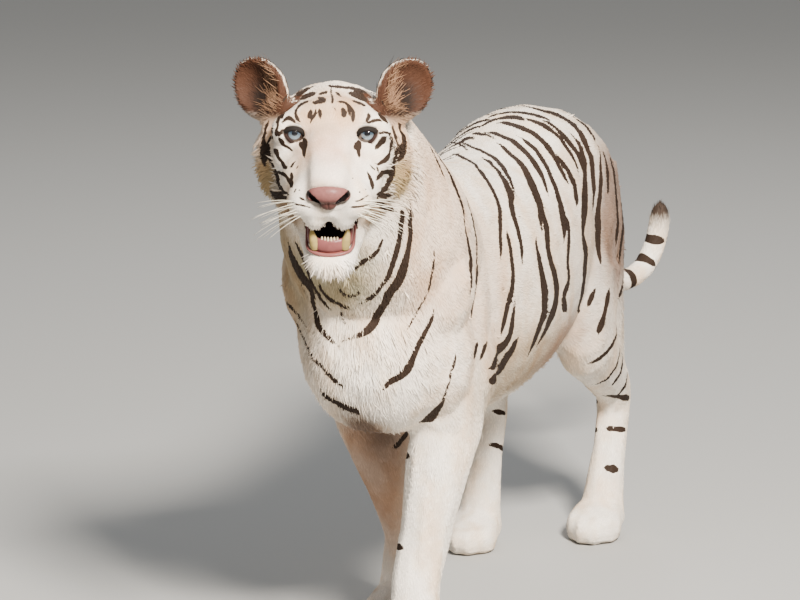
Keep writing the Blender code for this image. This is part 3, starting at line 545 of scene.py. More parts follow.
# These run over the back and down the flank. They are used on both sides.
SIDE_STROKES = {
    "nape": (
        ((0.010, -0.66, 1.10, 8), (0.035, -0.66, 1.09, 14), (0.060, -0.65, 1.07, 6)),
        ((0.010, -0.60, 1.07, 8), (0.035, -0.59, 1.06, 14), (0.065, -0.59, 1.04, 6)),
        ((0.008, -0.50, 1.03, 8), (0.035, -0.48, 1.01, 16), (0.070, -0.47, 0.98, 6)),
    ),
    "hip": (
        ((0.03, 0.53, 0.88, 8), (0.10, 0.54, 0.81, 18), (0.15, 0.51, 0.73, 20), (0.17, 0.47, 0.65, 10)),
        ((0.04, 0.58, 0.81, 8), (0.10, 0.57, 0.74, 18), (0.15, 0.53, 0.66, 20), (0.165, 0.49, 0.58, 10)),
        ((0.05, 0.60, 0.73, 8), (0.11, 0.57, 0.66, 16), (0.15, 0.53, 0.58, 12)),
        ((0.06, 0.58, 0.63, 8), (0.12, 0.55, 0.57, 16), (0.15, 0.50, 0.51, 10)),
    ),
    "shoulder line": (
        ((0.112, -0.554, 1.021, 5), (0.112, -0.52, 1.002, 7), (0.132, -0.495, 0.959, 18),
         (0.148, -0.502, 0.934, 21), (0.16, -0.504, 0.909, 18), (0.167, -0.503, 0.882, 8),
         (0.172, -0.507, 0.85, 7), (0.174, -0.482, 0.795, 15), (0.181, -0.503, 0.776, 17),
         (0.183, -0.52, 0.724, 8)),
        ((0.116, -0.56, 1.018, 5), (0.131, -0.558, 0.993, 12), (0.148, -0.553, 0.952, 5)),
    ),
    "flank": (
        ((0.122, -0.4, 0.912, 5), (0.142, -0.415, 0.888, 12), (0.155, -0.426, 0.866, 20),
         (0.164, -0.42, 0.805, 14), (0.166, -0.425, 0.774, 10), (0.164, -0.42, 0.743, 15),
         (0.164, -0.447, 0.689, 10), (0.167, -0.461, 0.664, 7)),
        ((-0.065, 0.083, 0.877, 5), (0.007, -0.009, 0.882, 10), (0.043, -0.068, 0.885, 8),
         (0.074, -0.126, 0.884, 12), (0.099, -0.166, 0.875, 13), (0.13, -0.2, 0.847, 14),
         (0.155, -0.253, 0.8, 14), (0.163, -0.276, 0.767, 13), (0.168, -0.289, 0.732, 4)),
        ((-0.1, 0.196, 0.875, 5), (-0.019, 0.068, 0.885, 5)),
        ((-0.068, 0.156, 0.888, 7), (-0.032, 0.104, 0.889, 6), (0.03, 0.056, 0.882, 10),
         (0.053, 0.034, 0.875, 12), (0.103, -0.044, 0.859, 11), (0.134, -0.096, 0.836, 5)),
        ((-0.066, 0.157, 0.889, 11), (-0.054, 0.159, 0.894, 10), (-0.028, 0.136, 0.896, 5)),
        ((0.013, 0.046, 0.883, 6), (0.038, 0.017, 0.879, 12), (0.062, -0.018, 0.875, 9),
         (0.124, -0.107, 0.847, 21), (0.137, -0.137, 0.834, 18), (0.15, -0.164, 0.817, 21),
         (0.158, -0.171, 0.8, 16), (0.176, -0.187, 0.746, 15), (0.18, -0.206, 0.714, 4)),
        ((-0.051, 0.181, 0.899, 9), (-0.028, 0.166, 0.902, 11), (-0.008, 0.156, 0.902, 7),
         (0.015, 0.137, 0.899, 5)),
        ((-0.026, 0.174, 0.904, 9), (-0.009, 0.173, 0.905, 12), (0.011, 0.163, 0.904, 12),
         (0.035, 0.15, 0.899, 13), (0.054, 0.143, 0.892, 16), (0.11, 0.104, 0.857, 17),
         (0.134, 0.081, 0.831, 13), (0.153, 0.051, 0.806, 5)),
        ((0.002, 0.128, 0.897, 6), (0.025, 0.119, 0.894, 9), (0.048, 0.1, 0.887, 12),
         (0.105, 0.055, 0.855, 17), (0.138, 0.009, 0.825, 27), (0.163, -0.022, 0.791, 23),
         (0.173, -0.028, 0.769, 26), (0.186, -0.055, 0.729, 24), (0.193, -0.035, 0.673, 25),
         (0.194, -0.021, 0.64, 29), (0.192, -0.028, 0.608, 29), (0.19, -0.059, 0.585, 26),
         (0.179, -0.106, 0.544, 15)),
        ((0.147, -0.005, 0.814, 9), (0.167, -0.047, 0.784, 13), (0.176, -0.064, 0.763, 11)),
        ((0.176, -0.096, 0.76, 11), (0.181, -0.11, 0.739, 13), (0.192, -0.099, 0.666, 33),
         (0.194, -0.091, 0.635, 36), (0.192, -0.093, 0.612, 37), (0.191, -0.107, 0.596, 27),
         (0.173, -0.142, 0.532, 13)),
        ((-0.013, 0.222, 0.914, 12), (0, 0.227, 0.916, 19), (0.018, 0.221, 0.914, 18),
         (0.045, 0.215, 0.909, 18), (0.066, 0.215, 0.9, 17), (0.083, 0.208, 0.892, 18),
         (0.101, 0.203, 0.878, 18), (0.116, 0.193, 0.863, 15), (0.141, 0.18, 0.829, 16),
         (0.153, 0.184, 0.807, 9)),
        ((-0.044, 0.204, 0.906, 8), (-0.035, 0.231, 0.914, 12), (-0.023, 0.245, 0.918, 12),
         (0.009, 0.262, 0.922, 27), (0.023, 0.258, 0.921, 17), (0.039, 0.247, 0.917, 7)),
        ((0.117, 0.206, 0.865, 7), (0.131, 0.205, 0.846, 16), (0.145, 0.209, 0.826, 22),
         (0.155, 0.208, 0.805, 22), (0.162, 0.2, 0.785, 21), (0.169, 0.184, 0.763, 9)),
        ((0.032, 0.262, 0.921, 11), (0.065, 0.264, 0.912, 17), (0.079, 0.266, 0.904, 18),
         (0.096, 0.265, 0.894, 13), (0.111, 0.264, 0.881, 14), (0.134, 0.261, 0.851, 12),
         (0.145, 0.26, 0.831, 10), (0.153, 0.248, 0.814, 7)),
        ((0.065, 0.283, 0.915, 12), (0.077, 0.292, 0.908, 14), (0.094, 0.291, 0.897, 16),
         (0.107, 0.287, 0.887, 23), (0.12, 0.288, 0.873, 18), (0.132, 0.288, 0.858, 19),
         (0.142, 0.289, 0.84, 17), (0.155, 0.275, 0.809, 8)),
        ((0.044, 0.174, 0.902, 6), (0.061, 0.174, 0.895, 10), (0.078, 0.164, 0.886, 12),
         (0.096, 0.155, 0.875, 14), (0.143, 0.116, 0.821, 19), (0.172, 0.082, 0.764, 29),
         (0.186, 0.046, 0.719, 12)),
        ((0.171, 0.092, 0.766, 24), (0.177, 0.099, 0.747, 26), (0.181, 0.094, 0.729, 19),
         (0.191, 0.058, 0.683, 20), (0.193, 0.059, 0.658, 17), (0.193, 0.052, 0.635, 20),
         (0.192, 0.034, 0.623, 26), (0.192, 0.032, 0.604, 27), (0.188, 0.065, 0.577, 9)),
    ),
    "loin": (
        ((-0.047, 0.261, 0.916, 10), (-0.022, 0.287, 0.924, 14), (-0.005, 0.299, 0.925, 17),
         (0.051, 0.306, 0.918, 20), (0.076, 0.313, 0.908, 9)),
        ((-0.046, 0.375, 0.917, 4), (-0.034, 0.395, 0.919, 6), (0.039, 0.359, 0.921, 20),
         (0.055, 0.366, 0.917, 24), (0.086, 0.381, 0.9, 27), (0.107, 0.362, 0.892, 17),
         (0.123, 0.352, 0.881, 15), (0.137, 0.339, 0.865, 15), (0.147, 0.329, 0.845, 11),
         (0.153, 0.316, 0.828, 6)),
        ((0.108, 0.324, 0.886, 11), (0.121, 0.324, 0.873, 13), (0.135, 0.314, 0.859, 12),
         (0.152, 0.292, 0.82, 18), (0.17, 0.234, 0.757, 29), (0.178, 0.196, 0.711, 24),
         (0.18, 0.213, 0.662, 34), (0.18, 0.208, 0.632, 34), (0.17, 0.215, 0.57, 40),
         (0.157, 0.243, 0.537, 20)),
    ),
    "rump": (
        ((0.052, 0.452, 0.906, 7), (0.064, 0.466, 0.897, 9), (0.115, 0.41, 0.887, 10),
         (0.133, 0.392, 0.874, 14), (0.147, 0.376, 0.86, 11)),
        ((0.146, 0.339, 0.852, 8), (0.155, 0.328, 0.83, 15), (0.161, 0.317, 0.802, 16),
         (0.166, 0.307, 0.778, 14), (0.171, 0.287, 0.737, 11)),
        ((0.148, 0.386, 0.856, 7), (0.167, 0.351, 0.81, 9), (0.172, 0.337, 0.779, 14),
         (0.172, 0.317, 0.728, 22), (0.173, 0.311, 0.701, 30), (0.177, 0.312, 0.642, 16),
         (0.181, 0.306, 0.617, 9)),
        ((0.157, 0.399, 0.838, 11), (0.168, 0.389, 0.81, 13), (0.175, 0.375, 0.782, 16),
         (0.178, 0.365, 0.754, 7)),
        ((0.157, 0.448, 0.819, 5), (0.17, 0.425, 0.8, 14), (0.18, 0.423, 0.723, 21),
         (0.18, 0.421, 0.641, 21)),
    ),
    "ribs": (
        ((0.157, -0.22, 0.799, 6), (0.164, -0.231, 0.777, 13), (0.177, -0.244, 0.699, 16),
         (0.175, -0.266, 0.661, 20), (0.172, -0.288, 0.624, 14), (0.17, -0.293, 0.605, 7)),
    ),
    "belly": (
        ((0.179, -0.231, 0.671, 8), (0.178, -0.245, 0.632, 16), (0.172, -0.264, 0.59, 22),
         (0.177, -0.345, 0.572, 20), (0.178, -0.388, 0.566, 12)),
        ((0.178, -0.21, 0.59, 12), (0.171, -0.235, 0.564, 25), (0.165, -0.253, 0.55, 32),
         (0.157, -0.278, 0.536, 24), (0.176, -0.38, 0.542, 21)),
        ((0.171, -0.427, 0.625, 7), (0.173, -0.448, 0.613, 19), (0.172, -0.458, 0.6, 11)),
        ((0.175, -0.385, 0.618, 6), (0.174, -0.407, 0.606, 12), (0.172, -0.422, 0.59, 9)),
    ),
    "thigh": (
        ((0.179, 0.287, 0.58, 6), (0.174, 0.268, 0.561, 15), (0.169, 0.261, 0.544, 6)),
        ((0.193, 0.337, 0.571, 9), (0.193, 0.324, 0.549, 17), (0.191, 0.31, 0.527, 13),
         (0.187, 0.299, 0.502, 17), (0.179, 0.291, 0.481, 8)),
    ),
}

# %% [markdown]
# ## Marks of the face
# The face has the densest pattern: bars on the forehead, a brow over each eye, and bands round the cheeks.
# Both halves are drawn, because a tiger's face is never quite the same on its two sides. The places are in
# millimetres in the head's axes.

# %% Strokes on the face
# Each place is x, y, z and the mark's width, all in millimetres.
FACE_STROKES = {
    "crown": (
        ((-63, 26, 39, 6), (-58, 34, 43, 14), (-51, 47, 45, 14), (-43, 59, 46, 13), (-35, 59, 48, 7.5)),
        ((-59, 5, 38, 9), (-51, 8, 42, 14), (-42, 10, 46, 14), (-31, 14, 49, 7)),
        ((-79, 13, 58, 3.5), (-67, 62, 36, 4), (-53, 76, 40, 3)),
        ((-14, 40, 56, 7.5), (17, 32, 54, 9), (33, 38, 52, 10), (46, 43, 47, 14), (55, 44, 44, 14),
         (62, 52, 39, 10.5)),
        ((38, 28, 49, 5), (49, 25, 46, 7.5), (58, 26, 42, 5.5)),
        ((29, 10, 49, 6), (38, 12, 47, 12.5), (55, 9, 41, 14), (61, 24, 40, 4.5)),
    ),
    "ear line": (
        ((-91, -5, 30, 2.5), (-84, -3, 41, 3), (-77, 6, 47, 3)),
        ((88, -4, 42, 2.5), (92, -5, 33, 3), (97, -5, 27, 2.5)),
    ),
    "brow arc": (
        ((-39, -28, 46, 8), (-52, -27, 42, 12), (-60, -39, 38, 5), (-65, -59, 33, 3.5), (-62, -70, 27, 4),
         (-57, -74, 21, 3), (-53, -75, 18, 1.5)),
        ((11, -41, 49, 5), (20, -40, 49, 6.5), (27, -42, 47, 5), (37, -55, 40, 4.5), (41, -62, 34, 5),
         (40, -70, 27, 5), (40, -77, 16, 1.5)),
    ),
    "forehead": (
        ((-31, -46, 45, 4), (-23, -42, 47, 6), (-16, -47, 47, 3)),
        ((-25, 3, 49, 5.5), (-16, 5, 51, 7), (-8, 12, 53, 4.5)),
        ((-23, -9, 48, 6), (-17, -31, 51, 9), (-12, -46, 48, 3.5)),
        ((-37, -57, 39, 4), (-38, -65, 33, 6.5), (-41, -71, 25, 3)),
        ((-27, -58, 40, 2.5), (-28, -67, 33, 4), (-33, -71, 27, 4), (-37, -78, 17, 1.5)),
        ((-21, -59, 41, 3), (-19, -68, 34, 4.5), (-18, -76, 27, 2.5)),
        ((7, 11, 53, 3.5), (13, -1, 51, 4.5), (17, -12, 49, 2.5)),
        ((38, -24, 47, 8), (54, -27, 41, 11.5), (61, -34, 37, 5.5)),
        ((20, -56, 43, 3), (24, -64, 37, 7), (23, -73, 29, 3.5)),
        ((-36, -40, 46, 5), (-29, -38, 48, 7.5), (-22, -36, 49, 6.5)),
    ),
    "centre": (
        ((-3, 28, 55, 2.5), (2, -33, 51, 3), (2, -50, 47, 2)),
        ((4, -55, 45, 2), (10, -64, 38, 1.5)),
        ((29, -45, 46, 2), (33, -58, 39, 4), (35, -68, 30, 3)),
    ),
    "eyebrow": (
        ((-88, -70, 16, 3), (-84, -66, 20, 5), (-77, -65, 24, 6.5), (-62, -76, 18, 2)),
        ((69, -55, 33, 3.5), (70, -65, 28, 5), (67, -72, 24, 3.5), (63, -75, 19, 1.5)),
        ((65, -76, 17, 3), (81, -68, 22, 4.5), (89, -61, 20, 5), (93, -63, 18, 3)),
    ),
    "temple": (
        ((-89, -4, 19, 2.5), (-93, -47, 23, 14), (-97, -56, 18, 8.5), (-97, -67, 12, 5),
         (-101, -71, -6, 7), (-101, -69, -14, 4)),
        ((90, -4, 19, 3), (94, -42, 22, 14), (100, -50, 17, 14), (104, -56, 12, 7)),
    ),
    "outer": (
        ((-116, 4, -2, 2.5), (-120, 4, -11, 4.5), (-128, 0, -33, 6.5), (-127, -7, -56, 13.5),
         (-127, -8, -69, 14), (-128, -8, -82, 11.5), (-127, -8, -94, 5)),
        ((118, 6, -5, 2.5), (124, 8, -13, 7.5), (127, 6, -22, 5.5), (133, 7, -32, 9), (133, 2, -44, 9),
         (129, -3, -56, 14), (129, -5, -67, 14), (117, -18, -78, 4.5)),
    ),
    "second": (
        ((-107, -61, 5, 6), (-111, -48, -9, 14), (-116, -11, -33, 6), (-117, -18, -62, 14),
         (-113, -26, -72, 14), (-108, -33, -84, 14), (-103, -36, -94, 14), (-100, -43, -105, 14),
         (-97, -51, -116, 14)),
        ((109, -1, -6, 2.5), (113, -5, -17, 5), (117, -8, -29, 6), (119, -12, -41, 6.5),
         (119, -14, -54, 8.5), (117, -18, -66, 10.5), (113, -24, -76, 14), (110, -22, -101, 14),
         (104, -35, -109, 13), (101, -44, -117, 13), (94, -56, -121, 6.5)),
    ),
    "loop": (
        ((-107, -47, -40, 4.5), (-101, -67, -41, 9), (-98, -73, -49, 8), (-92, -79, -54, 5.5),
         (-86, -88, -59, 7), (-81, -102, -58, 5.5), (-75, -105, -52, 2.5)),
        ((104, -65, 5, 4), (107, -64, -5, 4.5), (109, -22, -28, 6), (110, -27, -38, 9.5),
         (107, -58, -51, 10), (93, -78, -56, 6), (86, -86, -57, 3.5), (79, -94, -51, 2.5)),
    ),
    "mark": (
        ((-72, -114, -55, 6), (-68, -111, -49, 5), (-62, -110, -43, 2.5)),
        ((-62, -124, -54, 2.5), (-57, -123, -47, 3)),
        ((72, -106, -50, 2.5), (78, -106, -56, 3.5), (84, -101, -63, 2.5)),
        ((85, -93, -59, 5), (88, -94, -69, 8)),
    ),
    "under eye": (
        ((-96, -74, -12, 7.5), (-90, -75, -19, 8.5), (-83, -75, -27, 5.5), (-68, -89, -32, 2)),
        ((81, -79, -32, 3), (97, -72, -18, 14), (103, -67, -12, 10)),
    ),
    "eye corner": (
        ((-101, -71, -7, 4.5), (-91, -78, 0, 5.5), (-84, -72, 1, 9.5)),
        ((88, -80, -2, 4.5), (97, -74, 0, 4.5), (106, -66, -3, 4.5)),
        ((-82, -72, 1, 7.5), (-91, -78, -1, 5.5), (-97, -74, -8, 4.5)),
    ),
    "cheek": (
        ((-103, -38, -91, 5.5), (-90, -93, -72, 5), (-81, -113, -71, 6), (-75, -124, -75, 7.5),
         (-69, -143, -77, 8), (-66, -161, -77, 3)),
        ((-72, -120, -61, 5.5), (-70, -127, -68, 7.5), (-69, -133, -76, 6.5), (-67, -154, -76, 3)),
        ((-97, -51, -114, 14), (-90, -98, -103, 13), (-82, -116, -103, 5), (-71, -169, -88, 2.5)),
        ((108, -25, -95, 6.5), (96, -69, -80, 9.5), (90, -96, -77, 8.5), (84, -111, -79, 5.5)),
        ((67, -121, -57, 2.5), (78, -123, -84, 10.5), (80, -121, -92, 4.5)),
        ((101, -44, -115, 8), (92, -59, -118, 11), (84, -112, -106, 4.5)),
    ),
    # Some of these strokes are the dark band of painted shadow behind the whisker pads; the others are the
    # jaw's stripes.
    "jaw": (
        ((-125, 3, -135, 6), (-115, -7, -139, 11.5), (-105, -34, -137, 14), (-73, -172, -101, 3.5)),
        ((85, -104, -116, 5.5), (97, -50, -131, 7), (113, -10, -141, 6)),
        ((82, -68, -138, 6.5), (92, -51, -148, 8), (103, 0, -173, 8.5), (116, 11, -183, 5.5)),
    ),
    "lip": (
        ((-54, -187, -86, 2), (-47, -192, -88, 3.5), (-41, -195, -90, 2)),
        ((-67, -181, -99, 2), (-52, -194, -99, 3), (-40, -196, -100, 2.5), (-29, -196, -104, 2)),
        ((-64, -175, -82, 3), (-60, -169, -74, 3.5)),
        ((48, -193, -90, 2), (57, -188, -90, 2.5), (73, -163, -89, 1.5)),
        ((39, -197, -102, 2), (52, -194, -101, 3.5), (76, -165, -106, 1.5)),
    ),
    "dot": (
        ((-54, -176, -75, 2.5), (-52, -179, -76, 2.5)),
        ((66, -163, -77, 5.5), (68, -163, -79, 4.5)),
        ((56, -178, -77, 3), (58, -179, -79, 3)),
        ((43, -162, -57, 4), (45, -162, -59, 4)),
    ),
    "tear": (
        ((-53, -84, -21, 5), (-48, -90, -22, 9), (-43, -97, -22, 11), (-38, -104, -25, 8)),
        ((53, -84, -21, 5), (48, -90, -22, 9), (43, -97, -22, 11), (38, -104, -25, 8)),
        ((-53, -76, -10, 3), (-47, -96, -10, 7.5), (-46, -105, -17, 14), (-47, -111, -24, 9),
         (-46, -123, -32, 4)),
        ((57, -80, -8, 3), (53, -84, -14, 7), (52, -98, -19, 11), (54, -114, -34, 4)),
    ),
    "chin dot": (
        ((-21, -159, -206, 3), (-19, -161, -209, 2.5)),
        ((24, -156, -205, 3.5), (26, -158, -208, 3)),
    ),
}

# %% [markdown]
# ## Rings
# The tail is ringed, and the legs have short bars that go part of the way round. A rule places them: so
# many rings between two lengths along the part's line, each over a range of angles.

# %% Strokes and rings as chains of points on the skin
skin_tree = BVHTree.FromPolygons([tuple(p) for p in points], [tuple(f.vertices) for f in skin_mesh.polygons])


def curve_point(a, b, c, d, t):
    """A place between b and c on a smooth curve through four places."""
    return 0.5 * (2 * b + (c - a) * t + (2 * a - 5 * b + 4 * c - d) * t ** 2
                  + (3 * b - a - 3 * c + d) * t ** 3)


def smooth_chain(places, gap):
    """A smooth curve through the places, as points about a gap apart."""
    places = np.asarray(places, float)
    if len(places) == 2:
        places = np.array([places[0], places.mean(0), places[1]])
    ends = np.vstack([2 * places[0] - places[1], places, 2 * places[-1] - places[-2]])
    chain = []
    for a, b, c, d in zip(ends[:-3], ends[1:-2], ends[2:-1], ends[3:]):
        count = max(2, int(np.linalg.norm((c - b)[:3]) / gap))
        for t in np.arange(count) / count:
            chain.append(curve_point(a, b, c, d, t))
    chain.append(places[-1])
    return np.array(chain)


def onto_skin(chain):
    """Each point moved to the nearest place on the skin."""
    return np.array([tuple(skin_tree.find_nearest(Vector(p))[0]) for p in chain])


RING_REACH = 1.7  # how far from a part's line its ring may lie, in the part's radii


def part_ring(name, length, start, end, count=14):
    """Places round a part's line at one length along it, from one angle to another, on the skin."""
    radius, line = LINES[name]
    line = np.asarray(line, float)
    sizes = np.linalg.norm(np.diff(line, axis=0), axis=1)
    which = min(int(np.searchsorted(np.cumsum(sizes), length)), len(sizes) - 1)
    way = (line[which + 1] - line[which]) / sizes[which]
    foot = line[which] + way * (length - np.cumsum(sizes)[which] + sizes[which])
    guide = (0.0, 1.0, 0.0) if abs(way[2]) > 0.75 else (0.0, 0.0, 1.0)
    across = unit(np.cross(way, guide))
    up = np.cross(across, way)
    places = []
    for angle in np.linspace(start, end, count):
        out = across * math.cos(angle) + up * math.sin(angle)
        hit = skin_tree.ray_cast(Vector(foot), Vector(out))[0]
        if hit is not None and (hit - Vector(foot)).length < RING_REACH * radius:
            places.append(tuple(hit))
    return places


STROKES = []


def add_stroke(places, gap=0.0025, scale=1.0, least=2.6):
    """Keeps a stroke as points on the skin and half widths in millimetres. Its ends run out to points."""
    chain = smooth_chain(places, gap)
    share = np.linspace(0, 1, len(chain))
    taper = np.clip(np.minimum(share, 1 - share) / 0.10, 0.15, 1) ** 0.6
    wobble = 1 + 0.10 * np.sin(share * rng.uniform(9, 22) + rng.uniform(0, 6))
    half = np.maximum(0.5 * scale * chain[:, 3] * wobble, least) * taper
    STROKES.append((onto_skin(chain[:, :3]), half))


FRONT_SCALE, SIDE_SCALE, MIRRORED_SCALE = 1.12, 1.15, (0.95, 1.30)
BOLD_MARKS, BOLD_SCALE, FACE_SCALE = ("crown", "forehead", "brow arc", "eyebrow", "centre"), 1.55, 1.25
for group in FRONT_STROKES.values():
    for places in group:
        add_stroke(places, scale=FRONT_SCALE)
for group in SIDE_STROKES.values():
    for places in group:
        add_stroke(places, scale=SIDE_SCALE)
        shift = rng.normal(0, 0.010, 3) * (0.3, 1.0, 0.6)
        mirrored = np.array(places) * (-1, 1, 1, 1)
        mirrored[:, :3] += shift
        mirrored = mirrored[mirrored[:, 0] < -0.03]
        if len(mirrored) > 1:
            add_stroke(mirrored, scale=rng.uniform(*MIRRORED_SCALE))
for name, group in FACE_STROKES.items():
    bolder = BOLD_SCALE if name in BOLD_MARKS else FACE_SCALE
    for places in group:
        places = np.array(places, float)
        places[:, :3] = from_head(places[:, :3] / 1000)
        add_stroke(places, gap=0.0012, scale=bolder, least=1.3)
print("strokes so far", len(STROKES))


# %% Rings of the tail and bars of the legs
def add_ring(name, length, middle, reach, width):
    """A ring or a part of one round a part's line, centred on an angle."""
    places = part_ring(name, length, middle - reach, middle + reach)
    if len(places) > 3:
        swell = np.sin(np.linspace(0.25, math.pi - 0.25, len(places))) ** 0.4
        add_stroke(np.column_stack([places, width * swell]), gap=0.004)


tail_length = np.linalg.norm(np.diff(np.array(LINES["tail"][1]), axis=0), axis=1).sum()
TAIL_RINGS, FIRST_RING, LAST_RING, RING_WIDTH = 9, 0.05, 0.08, 14
for number in range(TAIL_RINGS):
    at = FIRST_RING + (tail_length - (FIRST_RING + LAST_RING)) * number / (TAIL_RINGS - 1)
    add_ring("tail", at + rng.normal(0, 0.004), 0.0, math.pi, RING_WIDTH + number)
# name, first and last length, bars, middle angle, width: the angle's zero is the animal's left
LEG_BARS = (
    ("hindleg_left", 0.24, 0.66, 7, -0.4, 15), ("hindleg_left", 0.38, 0.60, 4, math.pi, 11),
    ("hindleg_right", 0.24, 0.66, 7, math.pi + 0.4, 15), ("hindleg_right", 0.38, 0.60, 4, 0.0, 11),
    ("foreleg_left", 0.21, 0.38, 3, math.pi, 12), ("foreleg_right", 0.21, 0.38, 3, 0.0, 12),
)
for name, first, last, count, middle, width in LEG_BARS:
    for number in range(count):
        at = first + (last - first) * number / (count - 1) + rng.normal(0, 0.006)
        add_ring(name, at, middle + rng.normal(0, 0.25), rng.uniform(0.6, 1.1), width * rng.uniform(0.8, 1.2))
print("strokes", len(STROKES), "points", sum(len(chain) for chain, _ in STROKES))


# %% [markdown]
# ## How far inside a stripe
# One number says where a point stands to the stripes: how many millimetres it is inside the nearest one, or
# below zero outside. The skin and every lock ask the same function, so they agree. A little noise makes the
# stripes' edges ragged. The noise is a sum over the corners of a lattice, which gives the same values each
# run.

# %% How far inside a stripe
NO_STRIPE = -9.0  # the depth of a place well outside the stripes


def lattice_noise(points, size, seed):
    """Smooth random values from -1 to 1 over blocks of a size, the same on every run."""
    spot = points / size + seed * 17.31
    cell = np.floor(spot).astype(np.int64)
    part_way = spot - cell
    ease = part_way * part_way * (3 - 2 * part_way)
    total = np.zeros(len(points))
    for corner in np.ndindex(2, 2, 2):
        key = cell + corner
        mixed = (key[:, 0] * 73856093) ^ (key[:, 1] * 19349663) ^ (key[:, 2] * 83492791) ^ (seed * 2654435761)
        mixed = (mixed ^ (mixed >> 13)) * 1274126177 & 0x7FFFFFFF
        value = (mixed % 20011) / 10005.0 - 1
        weight = np.prod(np.where(corner, ease, 1 - ease), axis=1)
        total += value * weight
    return total


def stripe_depth(points, least=NO_STRIPE):
    """Millimetres inside the nearest stripe; below zero outside, and never under the least."""
    ragged = points.copy()
    for axis in range(3):
        ragged[:, axis] += 0.0012 * lattice_noise(points, 0.022, 3 + axis)
        ragged[:, axis] += 0.0006 * lattice_noise(points, 0.005, 9 + axis)
    depth = np.full(len(points), least)
    margin = 0.003 - least / 1000
    for chain, half in STROKES:
        low, high = chain.min(0) - margin, chain.max(0) + margin
        near = np.flatnonzero(((ragged > low) & (ragged < high)).all(1))
        for some in np.array_split(near, max(1, len(near) // 20000)):
            if not len(some):
                continue
            gaps = ((ragged[some, None] - chain[None]) ** 2).sum(2)
            closest = gaps.argmin(1)
            inside = half[closest] - 1000 * np.sqrt(gaps[np.arange(len(some)), closest])
            depth[some] = np.maximum(depth[some], inside)
    return depth


# %% [markdown]
# ## Ground colours
# Under the stripes the coat isn't one white. The neck's side and shoulder are warm and the lower cheeks
# yellow. Other patches are painted shade: olive on the throat and the right side of the neck, tan on the
# lower flank, rust-brown in the fold before the thigh and down the right foreleg, mauve-brown on the rump,
# a dark band behind the whisker pads, dark inside the right foreleg, and dark between the forelegs, where
# the breast's dark marks meet it. Each is a soft patch laid over the white at a place on the body, so skin
# and hair agree everywhere.

# %% Coat colour
WHITE = (0.83, 0.76, 0.67)
STRIPE = (0.025, 0.015, 0.010)
WARM = (0.57, 0.38, 0.25)
# Painted shade: tan for the lower flank, rust-brown for the fold before the thigh and the right foreleg,
# mauve-brown for the rump, olive for the throat.
LOWER_FLANK_SHADE = (0.38, 0.29, 0.18)
RUSTY_SHADE = (0.30, 0.155, 0.085)
RUMP_SHADE = (0.19, 0.125, 0.095)
THROAT_SHADE = (0.52, 0.46, 0.27)
OCHRE = (0.27, 0.19, 0.085)
BLUSH = (0.60, 0.42, 0.33)
HAZEL, SHADOW, BUFF = (0.50, 0.33, 0.20), (0.22, 0.15, 0.09), (0.54, 0.37, 0.25)


def both(tint, strength, place, radii):
    """The same patch on the left and on the right."""
    x, y, z = place
    return (tint, strength, (x, y, z), radii), (tint, strength, (-x, y, z), radii)


BODY_PATCHES = (  # colour, strength, place, radii
    (WARM, 0.62, (0.14, -0.58, 0.88), (0.08, 0.13, 0.20)),
    (WARM, 0.62, (-0.14, -0.55, 0.86), (0.08, 0.13, 0.20)),
    *both(WARM, 0.45, (0.17, -0.36, 0.70), (0.07, 0.12, 0.16)),
    *both(WARM, 0.25, (0.19, 0.02, 0.72), (0.07, 0.20, 0.10)),
    # Tan on the lower flank: painted shade.
    *both(LOWER_FLANK_SHADE, 0.75, (0.15, -0.16, 0.52), (0.09, 0.22, 0.07)),
    # Rust-brown in the fold before each thigh: painted shade.
    *both(RUSTY_SHADE, 0.72, (0.17, 0.12, 0.49), (0.06, 0.14, 0.06)),
    # Mauve-brown over the rump: painted shade.
    (RUMP_SHADE, 0.92, (0.19, 0.47, 0.70), (0.10, 0.18, 0.18)),
    (RUMP_SHADE, 0.85, (-0.19, 0.46, 0.70), (0.09, 0.17, 0.16)),
    (RUMP_SHADE, 0.75, (0.0, 0.60, 0.70), (0.20, 0.12, 0.20)),
    # Dark brown between the forelegs: the breast's dark marks, deepened by painted shade.
    ((0.10, 0.06, 0.04), 0.95, (-0.005, -0.58, 0.455), (0.040, 0.08, 0.070)),
    # Rust-brown down the right foreleg: painted shade.
    (RUSTY_SHADE, 0.75, (-0.08, -0.30, 0.38), (0.06, 0.13, 0.20)),
    (RUSTY_SHADE, 0.45, (-0.06, -0.20, 0.22), (0.05, 0.07, 0.10)),
    # Olive on the throat and the right side of the neck: painted shade.
    ((0.26, 0.225, 0.12), 0.85, (-0.02, -0.69, 0.80), (0.08, 0.08, 0.07)),
    ((0.26, 0.20, 0.11), 0.80, (-0.13, -0.64, 0.80), (0.05, 0.12, 0.16)),
    # Dark on the inside of the right foreleg: painted shade.
    ((0.07, 0.04, 0.028), 0.85, (-0.035, -0.44, 0.40), (0.05, 0.12, 0.11)),
    ((0.030, 0.018, 0.013), 0.98, (0.117, 0.952, 0.630), (0.05, 0.05, 0.045)),
)
